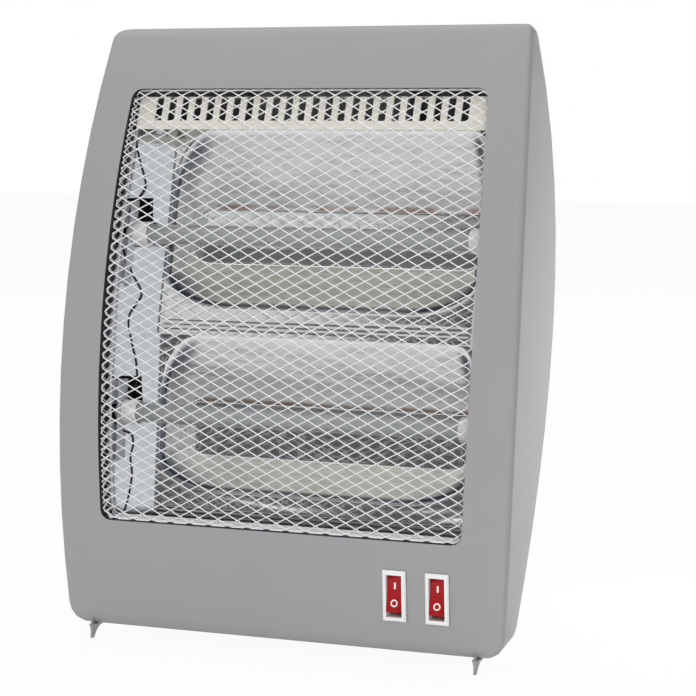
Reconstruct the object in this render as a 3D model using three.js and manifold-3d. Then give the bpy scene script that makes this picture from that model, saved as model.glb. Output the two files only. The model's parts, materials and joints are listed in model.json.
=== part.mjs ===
// Two-tube quartz heater, free-standing, in millimetres.
// X runs to the heater's left-to-right as seen from the front, the face looks along -Y, and Z is up.
// The group's origin is the middle of the bounding box at floor level.

import * as THREE from "three";
import { mergeVertices } from "three/addons/utils/BufferGeometryUtils.js";
import Module from "manifold-3d";

const wasm = await Module();
wasm.setup();

// Driving dimensions

const clearance = 0.3;
const overrun = 5;

const body = {
  height: 362.5,
  halfWidth: 145,
  widestHeight: 160,
  sideArc: 2083,
  faceFallShare: 0.550518,
  faceVertexHeight: 70,
  depth: 118,
  wall: 2.5,
  crease: 3.5,
  sideTaper: 3,
  crownFillet: 7,
  baseFillet: 4,
  topCorner: 6,
  bottomCorner: 12,
};
// Radius of the face, from how far its top falls back behind its foremost line.
const faceFall = body.faceFallShare * body.depth;
const faceReach = body.height - body.faceVertexHeight;
const faceArc = (faceReach * faceReach + faceFall * faceFall) / (2 * faceFall);
// The rear rim of the shield as a Bezier curve, in shares of the body's height and depth.
const rimHeightShares = [0, 0.386, 0.717, 1];
const rimDepthShares = [0.28, 0.729, 1.068, 0.695];

const windowFrame = { top: 37.1, side: 27 };
const windowSize = {
  bottom: 65.8,
  top: body.height - windowFrame.top,
  halfWidth: body.halfWidth - windowFrame.side,
  widestHeight: 190,
  sideArc: 2400,
  corner: 6,
  collarDepth: 12,
  collarWall: 2,
};

const guard = {
  fit: 0.35,
  setBack: 0.8,
  sheet: 1.2,
  returnShare: 0.127,
  strand: 2,
  columns: 6,
  rows: 14,
};

const stripPlace = { drop: 5, height: 19.6, sideGap: 1.97, slotFoot: 5.3 };
const strip = {
  bottom: windowSize.top - stripPlace.drop - stripPlace.height,
  top: windowSize.top - stripPlace.drop,
  setBack: 9,
  halfWidth: windowHalfAt(windowSize.top - stripPlace.drop) - stripPlace.sideGap,
  sheet: 1,
  ledge: 8,
  slots: 24,
  endSlotShares: 2.2,
  slotWidthShare: 0.52,
  slotReach: 4.5,
};

const platePlace = { sideGap: 18, topGap: 0.8, bottomGap: 8.8 };
const plate = {
  inner: body.halfWidth - platePlace.sideGap,
  sheet: 1,
  bottom: windowSize.bottom - platePlace.bottomGap,
  top: strip.bottom - platePlace.topGap,
  leadHole: 4,
  returnSetBack: 25,
  returnDrop: 13,
};

// Depths of the sheets and tubes in shares of the body's depth.
const depthShares = {
  upperBottomShare: 0.3729,
  upperTopShare: 0.6477,
  lowerBottomShare: 0.3136,
  lowerTopShare: 0.4195,
  troughShare: 0.2203,
  tubeShare: 0.2542,
};
// Heights of the sheets and tubes in shares of the window below the vent strip.
const heightShares = {
  upperBottomShare: 0.466,
  upperMouthShare: 0.537,
  upperTubeShare: 0.726,
  lowerMouthShare: 0.0604,
  lowerTubeShare: 0.263,
  lowerMouthTopShare: 0.4604,
  lowerTopShare: 0.4902,
};
const windowHeight = (share) => windowSize.bottom + share * (strip.bottom - windowSize.bottom);

const wing = { width: 33, land: 3, rise: 14, notchGap: 0.8 };
const reflector = {
  sheet: 1,
  halfWidth: plate.inner - clearance,
  depth: depthShares.troughShare * body.depth,
  mouthHalfLength: plate.inner - wing.width,
  floorHalfHeight: 17,
  floorDrop: 13,
  endDraft: 5,
  topCornerWidth: 24,
  topCornerHeight: 36,
  bottomCornerWidth: 44,
  bottomCornerHeight: 20,
  topMargin: 2.7,
  mouthMargin: 0.6,
  bottomMargin: 5.8,
  beadMargin: 6.8,
  beadPitch: 2.6,
  beadHeight: 0.8,
  beadCount: 3,
};
const wingStart = reflector.mouthHalfLength + wing.land;
const upperSheet = {
  bottom: windowHeight(heightShares.upperBottomShare),
  bottomDepth: depthShares.upperBottomShare * body.depth,
  top: strip.bottom + reflector.topMargin,
  topDepth: depthShares.upperTopShare * body.depth,
  mouthBottom: windowHeight(heightShares.upperMouthShare),
  mouthTop: strip.bottom - reflector.mouthMargin,
};
const lowerSheet = {
  bottom: windowSize.bottom - reflector.bottomMargin,
  bottomDepth: depthShares.lowerBottomShare * body.depth,
  top: windowHeight(heightShares.lowerTopShare),
  topDepth: depthShares.lowerTopShare * body.depth,
  mouthBottom: windowHeight(heightShares.lowerMouthShare),
  mouthTop: windowHeight(heightShares.lowerMouthTopShare),
};

const tubePlace = { endGap: 20, capOverlap: 3, capLength: 10, capNose: 5, coilGap: 15, pinReach: 15 };
const tube = {
  radius: 6,
  bore: 5,
  halfLength: plate.inner - tubePlace.endGap,
  setBack: depthShares.tubeShare * body.depth,
  upperHeight: windowHeight(heightShares.upperTubeShare),
  lowerHeight: windowHeight(heightShares.lowerTubeShare),
};
const coil = {
  radius: 3,
  halfLength: tube.halfLength - tubePlace.coilGap,
  pinRadius: 1,
  pinReach: tube.halfLength + tubePlace.pinReach,
};
const cap = {
  radius: 7.5,
  start: tube.halfLength - tubePlace.capOverlap,
  end: tube.halfLength - tubePlace.capOverlap + tubePlace.capLength,
  noseRadius: 4.5,
  noseEnd: tube.halfLength - tubePlace.capOverlap + tubePlace.capLength + tubePlace.capNose,
  bore: 1.6,
};
const bracket = { sheet: 1.2, above: 20, below: 30, holeGap: 0.4, rim: 3, footLength: 9 };

const coverTopGap = 10.5;
const cover = {
  bottom: 2.9,
  top: body.height - coverTopGap,
  inset: 21,
  backTaper: 12,
  backCorner: 14,
  baseFillet: 5,
  backFillet: 12,
  brimSetBack: 1.2,
  brim: 2.5,
  fit: 0.4,
};
const louvrePlace = { sideGap: 57, intakeFront: 66, intakeBack: 30, intakePitchShare: 0.0759 };
const louvre = {
  rows: 12,
  bottom: 84,
  pitch: 16.4,
  inner: 10,
  outer: body.halfWidth - louvrePlace.sideGap,
  height: 4.5,
  intakes: 7,
  intakePitch: louvrePlace.intakePitchShare * body.halfWidth,
  intakeWidth: 4,
  intakeFront: body.depth - louvrePlace.intakeFront,
  intakeBack: body.depth - louvrePlace.intakeBack,
};
const gripPlace = { drop: 48.5, widthShare: 0.331 };
const grip = {
  middle: body.height - gripPlace.drop,
  halfHeight: 15,
  halfWidth: gripPlace.widthShare * body.halfWidth,
  depth: 22,
  corner: 7,
  undercut: 6,
  lip: 8,
};

const screwHeightShares = [0.0993, 0.5103, 0.9103];
const screwHeights = screwHeightShares.map((share) => share * body.height);
const screw = {
  inset: 12.2,
  seatDepth: 1,
  shank: 1.5,
  hole: 2.1,
  head: 3.3,
  headHeight: 2.2,
  bite: 14,
  boss: 3.7,
  pilot: 1.8,
};

const footPlace = { sideGap: 53, backGap: 30 };
const foot = {
  drop: 8.5,
  frontInset: 16,
  rootHalfWidth: 3,
  tipHalfWidth: 1.2,
  front: 1,
  rootLength: 16,
  tipLength: 8,
  ridgeHeight: 4.2,
  ridgeHalfWidth: 0.6,
  ridgeProud: 0.5,
  peg: 2.3,
  pegHeight: 4.8,
  pegPlace: 14,
  rearSpacing: body.halfWidth - footPlace.sideGap,
  rearFront: body.depth - footPlace.backGap,
  rearLength: 20,
};

const switchPlace = { sideGap: 44.5, spacing: 26.1 };
const rockerSwitch = {
  leftPlace: body.halfWidth - switchPlace.sideGap - switchPlace.spacing,
  rightPlace: body.halfWidth - switchPlace.sideGap,
  height: 33.8,
  bezelWidth: 14.3,
  bezelHeight: 30.2,
  bezelProud: 1.6,
  bezelEdge: 0.8,
  bodyWidth: 12.2,
  bodyHeight: 27.6,
  bodyDepth: 20,
  openingWidth: 9.6,
  openingHeight: 25,
  openingDepth: 15.5,
  pivotDepth: 7.2,
  pinRadius: 1.2,
  pinGap: 0.3,
  bladeWidth: 4.8,
  bladeSheet: 0.8,
  bladeReach: 7,
  bladeSpacing: 8,
};
const rocker = {
  halfWidth: 4.4,
  halfHeight: 10.7,
  endReach: 8.4,
  valley: 7.1,
  hub: 4.6,
  skirt: 12.1,
  skirtStart: THREE.MathUtils.degToRad(62),
  skirtEnd: THREE.MathUtils.degToRad(84),
  restTilt: THREE.MathUtils.degToRad(10),
};

const shieldPlace = { sideGap: 9.8, topGap: 8, bottomGap: 5 };
const shield = {
  halfWidth: sideAt(plate.top - shieldPlace.topGap) - cover.inset - cover.backTaper - shieldPlace.sideGap,
  bottom: plate.bottom + shieldPlace.bottomGap,
  top: plate.top - shieldPlace.topGap,
  sheet: 0.8,
  gap: 5,
  post: 4,
  postPlaceShare: 0.86,
};
const cutoutHeightShare = 0.5186;
const cutout = { radius: 8.5, height: 8, z: cutoutHeightShare * body.height, ear: 13, earSheet: 1.2 };

const tipPlace = { xShare: -0.4, backGap: 40 };
const tip = {
  x: tipPlace.xShare * body.halfWidth,
  y: body.depth - tipPlace.backGap,
  footRadius: 3.6,
  holeRadius: 4.1,
  floorGap: 0.3,
  collarBottom: 11,
  collarTop: 13.5,
  collarRadius: 5.4,
  stemRadius: 2,
  stemTop: 36,
  cupRadius: 8,
  cupBore: 6,
  cupTop: 30,
  cupRoof: 2,
  flangeRadius: 13,
  flange: 2,
  riserHalfWidth: 10,
  riserTop: 52,
  riserSheet: 2,
  springRadius: 4.2,
  wire: 0.5,
  curls: 6,
};
const micro = { halfLength: 10, width: 6.4, bottom: 39.5, height: 10, lever: 0.6 };

const terminalPlace = { xShare: 0.2759, backGap: 42 };
const terminal = {
  x: terminalPlace.xShare * body.halfWidth,
  y: body.depth - terminalPlace.backGap,
  halfLength: 17,
  halfWidth: 8,
  height: 13,
  poles: 3,
  pitch: 10,
  bore: 2,
  screw: 2.4,
};
const glandPlaceShare = 0.4;
const gland = {
  x: glandPlaceShare * body.halfWidth,
  z: 26,
  bore: 3.5,
  neck: 5.7,
  flange: 8.5,
  flangeSheet: 2,
  gap: 0.3,
};

const lead = {
  radius: 1.1,
  sides: 6,
  pace: 13,
  bladeRun: 8.5,
  poleRun: 11,
  passRun: 22,
  switchRun: 9,
  cutoutRun: 10,
};
const link = { drop: 5, dip: 8, slant: 2 };

// Materials

function finish(color, roughness, metalness = 0) {
  return new THREE.MeshStandardMaterial({ color, roughness, metalness });
}
const greyPlastic = finish(0x9b9b9d, 0.5);
const darkPlastic = finish(0x3c3d40, 0.6);
const guardPaint = finish(0xe9e9ec, 0.4);
const creamPaint = finish(0xdcd6c4, 0.5);
const mirrorSheet = finish(0xd8d8d4, 0.15, 1);
const plainSteel = finish(0xa9adb0, 0.35, 1);
const frostedQuartz = finish(0xb8b8bc, 0.4);
const ceramic = finish(0xeeece6, 0.6);
const coilWire = finish(0xb36a3c, 0.4, 1);
const bezelPlastic = finish(0xececea, 0.35);
const redPlastic = finish(0xb3202c, 0.35);
const brassMetal = finish(0xb99a4e, 0.35, 1);
const blackSleeve = finish(0x1b1b1d, 0.55);
const springSteel = finish(0x8d9094, 0.3, 1);

// Solids

function fromPlaces(places, faces) {
  const geometry = new THREE.BufferGeometry();
  geometry.setAttribute("position", new THREE.Float32BufferAttribute(places, 3));
  geometry.setIndex(faces);
  return geometry;
}

// A closed geometry as a solid that can be joined and cut.
function solid(geometry) {
  const bare = geometry.clone();
  bare.deleteAttribute("normal");
  bare.deleteAttribute("uv");
  const merged = mergeVertices(bare);
  const triVerts = new Uint32Array(merged.index.array);
  const vertProperties = merged.attributes.position.array;
  const made = new wasm.Manifold(new wasm.Mesh({ numProp: 3, vertProperties, triVerts }));
  if (made.volume() > 0) return made;
  for (let corner = 0; corner < triVerts.length; corner += 3) {
    const second = triVerts[corner + 1];
    triVerts[corner + 1] = triVerts[corner + 2];
    triVerts[corner + 2] = second;
  }
  return new wasm.Manifold(new wasm.Mesh({ numProp: 3, vertProperties, triVerts }));
}

function unite(...solids) {
  return solids.reduce((sum, next) => sum.add(next));
}

function geometryOf(made) {
  const mesh = made.getMesh();
  const places = [];
  for (let vertex = 0; vertex < mesh.numVert; vertex++) {
    places.push(...mesh.vertProperties.subarray(vertex * mesh.numProp, vertex * mesh.numProp + 3));
  }
  const flat = fromPlaces(places, [...mesh.triVerts]).toNonIndexed();
  flat.computeVertexNormals();
  return flat;
}

// Solid through rings of equal point count, closed by flat ends.
function loft(rings) {
  const steps = rings[0].length;
  const faces = [];
  for (let ring = 0; ring + 1 < rings.length; ring++) {
    for (let step = 0; step < steps; step++) {
      const here = ring * steps + step;
      const next = ring * steps + ((step + 1) % steps);
      faces.push(here, next, next + steps, here, next + steps, here + steps);
    }
  }
  const last = (rings.length - 1) * steps;
  for (let step = 1; step + 1 < steps; step++) {
    faces.push(0, step + 1, step, last, last + step, last + step + 1);
  }
  return solid(fromPlaces(rings.flat().flat(), faces));
}

function block(low, high) {
  const size = high.map((value, axis) => value - low[axis]);
  const box = new THREE.BoxGeometry(...size);
  box.translate(...size.map((value, axis) => low[axis] + value / 2));
  return solid(box);
}

// Profile of [across, up] points extruded along X, Y or Z between two places.
function prism(points, axis, from, to) {
  const outline = new THREE.Shape(points.map(([across, up]) => new THREE.Vector2(across, up)));
  const made = new THREE.ExtrudeGeometry(outline, { depth: to - from, bevelEnabled: false });
  made.translate(0, 0, from);
  const turn = new THREE.Matrix4();
  if (axis === "x") turn.set(0, 0, 1, 0, 1, 0, 0, 0, 0, 1, 0, 0, 0, 0, 0, 1);
  if (axis === "y") turn.set(1, 0, 0, 0, 0, 0, 1, 0, 0, 1, 0, 0, 0, 0, 0, 1);
  return solid(made.applyMatrix4(turn));
}

const quarterTurn = Math.PI / 2;

// Round bar along an axis, centred on the two other coordinates of `at`.
function bar(radius, axis, from, to, at, sides = 20) {
  const made = new THREE.CylinderGeometry(radius, radius, to - from, sides);
  made.translate(0, (from + to) / 2, 0);
  if (axis === "z") made.rotateX(quarterTurn);
  if (axis === "x") made.rotateZ(-quarterTurn);
  const place = { x: [0, at[0], at[1]], y: [at[0], 0, at[1]], z: [at[0], at[1], 0] }[axis];
  return solid(made.translate(...place));
}

// Turned solid about Z from [radius, height] points that start and end on the axis.
function turned(points, at, sides = 24) {
  const profile = points.map(([radius, height]) => new THREE.Vector2(radius, height));
  const made = new THREE.LatheGeometry(profile, sides);
  made.rotateX(quarterTurn);
  return solid(made.translate(at[0], at[1], 0));
}

function roundedRect(halfWidth, halfHeight, radius, middle = [0, 0], steps = 3) {
  const points = [];
  const corners = [[1, -1], [1, 1], [-1, 1], [-1, -1]];
  corners.forEach(([across, up], corner) => {
    for (let step = 0; step <= steps; step++) {
      const angle = (corner - 1 + step / steps) * quarterTurn;
      points.push([
        middle[0] + across * (halfWidth - radius) + radius * Math.cos(angle),
        middle[1] + up * (halfHeight - radius) + radius * Math.sin(angle),
      ]);
    }
  });
  return points;
}

const group = new THREE.Group();
const assembly = new THREE.Group();
group.add(assembly);

function add(name, made, material, parent = assembly) {
  const mesh = new THREE.Mesh(geometryOf(made), material);
  mesh.name = name;
  parent.add(mesh);
  return mesh;
}

// Body curves, as functions of the height above the body's bottom

// How far a circular arc falls away at a distance from its vertex.
function sag(radius, distance) {
  return radius - Math.sqrt(radius * radius - distance * distance);
}

function sideAt(z) {
  return body.halfWidth - sag(body.sideArc, z - body.widestHeight);
}

function windowHalfAt(z) {
  return windowSize.halfWidth - sag(windowSize.sideArc, z - windowSize.widestHeight);
}

function faceAt(z) {
  return sag(faceArc, z - body.faceVertexHeight);
}

const rimCurve = new THREE.CubicBezierCurve(
  ...rimHeightShares.map((share, point) =>
    new THREE.Vector2(share * body.height, rimDepthShares[point] * body.depth)),
);

// Depth of the rear rim, found by halving the curve's parameter range.
function rimAt(z) {
  let low = 0;
  let high = 1;
  for (let halving = 0; halving < 40; halving++) {
    const middle = (low + high) / 2;
    if (rimCurve.getPoint(middle).x < z) low = middle;
    else high = middle;
  }
  return rimCurve.getPoint(low).y;
}

// How far a rounded end of the given radius draws a surface in, at a distance from that end.
function endCut(distance, radius) {
  if (distance >= radius) return 0;
  return sag(radius, radius - Math.max(distance, 0));
}

// Heights from low to high, close together in the rounded ends and even between them.
function heights(low, high, lowRadius, highRadius, middleCount, endCount = 4) {
  const levels = [];
  for (let step = 0; step < endCount; step++) {
    levels.push(low + lowRadius * (1 - Math.cos((step / endCount) * quarterTurn)));
  }
  for (let step = 0; step <= middleCount; step++) {
    levels.push(low + lowRadius + ((high - highRadius - low - lowRadius) * step) / middleCount);
  }
  for (let step = endCount - 1; step >= 0; step--) {
    levels.push(high - highRadius * (1 - Math.cos((step / endCount) * quarterTurn)));
  }
  return levels;
}

// Front housing

// Horizontal section of the shield, drawn in by an inset, from its rear edge round the front.
function shieldSection(z, inset, rear) {
  const fromBottom = z - inset;
  const fromTop = body.height - inset - z;
  const corner = Math.max(
    endCut(fromBottom, body.bottomCorner - inset),
    endCut(fromTop, body.topCorner - inset),
  );
  const fillet = Math.max(
    endCut(fromBottom, Math.max(body.baseFillet - inset, clearance)),
    endCut(fromTop, body.crownFillet - inset),
  );
  const half = sideAt(z) - inset - corner;
  const front = faceAt(z) + inset + fillet;
  const crease = Math.max(body.crease - inset, clearance);
  const right = [[half - body.sideTaper, rear]];
  const steps = 3;
  for (let step = 0; step <= steps; step++) {
    const angle = (step / steps) * quarterTurn;
    right.push([
      half - crease + crease * Math.cos(angle),
      front + crease - crease * Math.sin(angle),
    ]);
  }
  const left = right.map(([x, y]) => [-x, y]).reverse();
  return [...right, ...left].map(([x, y]) => [x, y, z]);
}

function shieldSolid(inset, beyondRim, middleCount = 12) {
  const levels = heights(
    inset,
    body.height - inset,
    body.bottomCorner - inset,
    body.crownFillet - inset,
    middleCount,
  );
  return loft(levels.map((z) => shieldSection(z, inset, rimAt(z) + beyondRim)));
}

// Window outline in [x, z], drawn in by an inset (a negative inset widens it).
function windowOutline(inset, middleCount = 6) {
  const low = windowSize.bottom + inset;
  const high = windowSize.top - inset;
  const corner = windowSize.corner - inset;
  const right = heights(low, high, corner, corner, middleCount, 3).map((z) => [
    windowHalfAt(z) - inset - Math.max(endCut(z - low, corner), endCut(high - z, corner)),
    z,
  ]);
  const left = right.map(([x, z]) => [-x, z]).reverse();
  return [...right, ...left];
}

// Slab that follows the face between two depths behind it.
function faceBand(near, far, middleCount = 12) {
  const levels = heights(-overrun, body.height + overrun, overrun, overrun, middleCount, 1);
  return loft(levels.map((z) => [
    [body.halfWidth + overrun, faceAt(z) + far, z],
    [body.halfWidth + overrun, faceAt(z) + near, z],
    [-body.halfWidth - overrun, faceAt(z) + near, z],
    [-body.halfWidth - overrun, faceAt(z) + far, z],
  ]));
}

// Frame of a part that lies on the face: its place, and the turn that lays it along the face.
function faceFrame(x, z) {
  const slope = Math.asin((body.faceVertexHeight - z) / faceArc);
  return new THREE.Matrix4()
    .makeTranslation(x, faceAt(z), z)
    .multiply(new THREE.Matrix4().makeRotationX(slope));
}

const windowPrism = (inset, near, far) => prism(windowOutline(inset), "y", near, far);

function placed(made, matrix) {
  return made.transform(matrix.elements);
}

const switchPlaces = [rockerSwitch.leftPlace, rockerSwitch.rightPlace];

function screwPlace(z) {
  return sideAt(z) - screw.inset;
}

// Depth of the flat that a screw head sits on, sunk into the brim.
function screwSeat(z) {
  return rimAt(z) - cover.brimSetBack - screw.seatDepth;
}

const brimFront = (z) => rimAt(z) - cover.brimSetBack - cover.brim;

// Slab that follows the rear rim between two distances behind it.
function rimBand(near, far) {
  const levels = heights(0, body.height, overrun, overrun, 12, 1);
  return loft(levels.map((z) => [
    [body.halfWidth + overrun, rimAt(z) + near, z],
    [body.halfWidth + overrun, rimAt(z) + far, z],
    [-body.halfWidth - overrun, rimAt(z) + far, z],
    [-body.halfWidth - overrun, rimAt(z) + near, z],
  ]));
}

function frontHousing() {
  const shell = shieldSolid(0, 0).subtract(shieldSolid(body.wall, overrun));
  const collar = windowPrism(-windowSize.collarWall, -overrun, body.depth)
    .intersect(faceBand(body.wall / 2, windowSize.collarDepth));
  let made = unite(shell, collar).subtract(windowPrism(0, -overrun, body.depth));
  for (const x of switchPlaces) {
    const halfWidth = rockerSwitch.bodyWidth / 2 + clearance;
    const halfHeight = rockerSwitch.bodyHeight / 2 + clearance;
    const hole = block([-halfWidth, -overrun, -halfHeight], [halfWidth, overrun, halfHeight]);
    made = made.subtract(placed(hole, faceFrame(x, rockerSwitch.height)));
  }
  for (const z of screwHeights) {
    for (const side of [-1, 1]) {
      const at = [side * screwPlace(z), z];
      const from = faceAt(z) + body.wall / 2;
      const to = brimFront(z) + body.wall;
      const web = block(
        [Math.min(at[0], side * (sideAt(z) - body.wall)), from + body.wall, z - body.wall / 4],
        [Math.max(at[0], side * (sideAt(z) - body.wall)), to, z + body.wall / 4],
      );
      const boss = unite(bar(screw.boss, "y", from, to, at, 10), web)
        .intersect(shieldSolid(body.wall / 2, 0, 8))
        .subtract(rimBand(-cover.brimSetBack - cover.brim - clearance, overrun));
      made = made.add(boss).subtract(bar(screw.pilot, "y", to - screw.bite, to + overrun, at, 8));
    }
  }
  for (const side of [-1, 1]) {
    const at = [side * (sideAt(0) - foot.frontInset), foot.pegPlace];
    made = made.subtract(bar(foot.peg + clearance, "z", -overrun, body.wall + overrun, at, 12));
  }
  return made;
}

add("front_housing", frontHousing(), greyPlastic);

// Mesh guard: a sheet bent to the face, cut by rows of diamonds, with plain return walls

function meshGuard() {
  const halfWidth = windowSize.halfWidth;
  const bottom = windowSize.bottom + guard.fit;
  const top = windowSize.top - guard.fit;
  const pitchX = (2 * halfWidth) / guard.columns;
  const pitchZ = (top - bottom) / guard.rows;
  const slant = Math.hypot(pitchX, pitchZ);
  const gapX = pitchX / 2 - (guard.strand * slant) / (2 * pitchZ);
  const gapZ = pitchZ / 2 - (guard.strand * slant) / (2 * pitchX);
  const border = guard.strand;
  const steps = 2 * guard.rows;
  const diamonds = [];
  for (let row = 0; row <= steps; row++) {
    const z = bottom + (row * pitchZ) / 2;
    for (let column = row % 2; column <= 2 * guard.columns; column += 2) {
      const x = -halfWidth + (column * pitchX) / 2;
      const onSide = column === 0 || column === 2 * guard.columns;
      const onEnd = row === 0 || row === steps;
      if (onSide && onEnd) continue;
      const reachX = gapX * (1 - (onEnd ? border / gapZ : 0));
      const reachZ = gapZ * (1 - (onSide ? border / gapX : 0));
      const level = Math.min(Math.max(z, bottom + border), top - border);
      const upright = Math.min(Math.max(x, -halfWidth + border), halfWidth - border);
      const corners = [[x + reachX, level], [upright, z + reachZ], [x - reachX, level], [upright, z - reachZ]];
      if (column === 0) corners.splice(2, 1);
      if (column === 2 * guard.columns) corners.splice(0, 1);
      if (row === 0) corners.splice(3, 1);
      if (row === steps) corners.splice(1, 1);
      diamonds.push(new THREE.Shape(corners.map(([across, up]) => {
        return new THREE.Vector2((across * windowHalfAt(up)) / halfWidth, up);
      })));
    }
  }
  const cuts = new THREE.ExtrudeGeometry(diamonds, { depth: body.depth, bevelEnabled: false });
  cuts.rotateX(quarterTurn);
  cuts.translate(0, body.depth - overrun, 0);
  const outline = windowPrism(guard.fit, -overrun, body.depth);
  const front = faceBand(guard.setBack, guard.setBack + guard.sheet, 9).intersect(outline);
  const walls = outline
    .subtract(windowPrism(guard.fit + guard.sheet, -overrun - overrun, body.depth + overrun))
    .intersect(faceBand(guard.setBack, guard.setBack + guard.returnShare * body.depth, 9));
  return front.subtract(solid(cuts)).add(walls);
}

add("mesh_guard", meshGuard(), guardPaint);

// Vent strip: slotted face, a lip back to the upper reflector, and a ledge that the slots run into

function sheetDepth(sheet, z) {
  return sheet.bottomDepth
    + ((sheet.topDepth - sheet.bottomDepth) * (z - sheet.bottom)) / (sheet.top - sheet.bottom);
}

function ventStrip() {
  const low = faceAt(strip.bottom) + strip.setBack;
  const high = faceAt(strip.top) + strip.setBack;
  const lipEnd = sheetDepth(upperSheet, strip.bottom) - clearance;
  let made = prism([
    [lipEnd, strip.bottom],
    [low, strip.bottom],
    [high, strip.top],
    [high + strip.ledge, strip.top],
    [high + strip.ledge, strip.top - strip.sheet],
    [high + strip.sheet, strip.top - strip.sheet],
    [low + strip.sheet, strip.bottom + strip.sheet],
    [lipEnd, strip.bottom + strip.sheet],
  ], "x", -strip.halfWidth, strip.halfWidth);
  for (const [from, to] of [[wingStart - clearance, plate.inner], [-plate.inner, clearance - wingStart]]) {
    made = made.subtract(block(
      [from, lipEnd - wing.rise - clearance, strip.bottom - overrun],
      [to, lipEnd + overrun, strip.bottom + strip.sheet + clearance],
    ));
  }
  const pitch = (2 * strip.halfWidth) / (strip.slots + strip.endSlotShares);
  const halfSlot = (pitch * strip.slotWidthShare) / 2;
  for (let slot = 0; slot < strip.slots; slot++) {
    const x = (slot - (strip.slots - 1) / 2) * pitch;
    made = made.subtract(block(
      [x - halfSlot, low - overrun, strip.bottom + stripPlace.slotFoot],
      [x + halfSlot, high + strip.slotReach, strip.top + overrun],
    ));
  }
  return made;
}

add("vent_strip", ventStrip(), creamPaint);

// Reflectors: a leaning sheet with one folded trough, embossed beads below it and end wings bent forwards

// Trough ring at a share of the trough's depth, grown outwards by `grow`.
function troughRing(sheet, depthShare, grow) {
  const narrowing = 1 - depthShare;
  const middle = (sheet.mouthBottom + sheet.mouthTop) / 2 - reflector.floorDrop * depthShare;
  const half = (sheet.mouthTop - sheet.mouthBottom) / 2;
  const halfHeight = reflector.floorHalfHeight + (half - reflector.floorHalfHeight) * narrowing + grow;
  const halfLength = reflector.mouthHalfLength - reflector.endDraft * depthShare + grow;
  const shrink = halfHeight / (half + grow);
  const points = [];
  const steps = 3;
  const corners = [
    [1, -1, reflector.bottomCornerWidth, reflector.bottomCornerHeight],
    [1, 1, reflector.topCornerWidth, reflector.topCornerHeight],
    [-1, 1, reflector.topCornerWidth, reflector.topCornerHeight],
    [-1, -1, reflector.bottomCornerWidth, reflector.bottomCornerHeight],
  ];
  corners.forEach(([across, up, width, height], corner) => {
    for (let step = 0; step <= steps; step++) {
      const angle = (corner - 1 + step / steps) * quarterTurn;
      const x = across * (halfLength - width * shrink) + width * shrink * Math.cos(angle);
      const z = middle + up * (halfHeight - height * shrink) + height * shrink * Math.sin(angle);
      const lean = sheetDepth(sheet, z);
      points.push([x, lean + depthShare * reflector.depth, z]);
    }
  });
  return points;
}

function trough(sheet, grow, front, back) {
  const rings = [];
  const steps = 2;
  rings.push(troughRing(sheet, 0, grow).map(([x, y, z]) => [x, y - front, z]));
  for (let step = 0; step <= steps; step++) {
    rings.push(troughRing(sheet, step / steps, grow).map(([x, y, z]) => [x, y + back, z]));
  }
  return loft(rings);
}

// How far the wing at a sheet's end stands before the sheet's plane.
function wingRise(x) {
  return (wing.rise * Math.max(Math.abs(x) - wingStart, 0)) / (reflector.halfWidth - wingStart);
}

function reflectorSheet(sheet, tubeHeight) {
  const flat = loft([-reflector.halfWidth, -wingStart, wingStart, reflector.halfWidth].map((x) => [
    [x, sheet.bottomDepth - wingRise(x), sheet.bottom],
    [x, sheet.topDepth - wingRise(x), sheet.top],
    [x, sheet.topDepth + reflector.sheet - wingRise(x), sheet.top],
    [x, sheet.bottomDepth + reflector.sheet - wingRise(x), sheet.bottom],
  ]));
  let made = flat.add(trough(sheet, reflector.sheet, 0, reflector.sheet));
  const notch = cap.radius + wing.notchGap;
  for (const [from, to] of [[wingStart, plate.inner], [-plate.inner, -wingStart]]) {
    made = made.subtract(bar(notch, "x", from, to, [faceAt(tubeHeight) + tube.setBack, tubeHeight], 20));
  }
  for (let bead = 0; bead < reflector.beadCount; bead++) {
    const beadMiddle = sheet.bottom + reflector.beadMargin;
    const z = beadMiddle + (bead - (reflector.beadCount - 1) / 2) * reflector.beadPitch;
    const y = sheetDepth(sheet, z);
    const half = reflector.beadPitch / 3;
    made = made.add(prism(
      [[y + reflector.sheet / 2, z - half], [y - reflector.beadHeight, z], [y + reflector.sheet / 2, z + half]],
      "x",
      -reflector.mouthHalfLength,
      reflector.mouthHalfLength,
    ));
  }
  return made.subtract(trough(sheet, 0, overrun, 0));
}

add("reflector_upper", reflectorSheet(upperSheet, tube.upperHeight), mirrorSheet);
add("reflector_lower", reflectorSheet(lowerSheet, tube.lowerHeight), mirrorSheet);

// Heating elements: tube, coil with end pins, ceramic caps and their brackets

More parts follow.
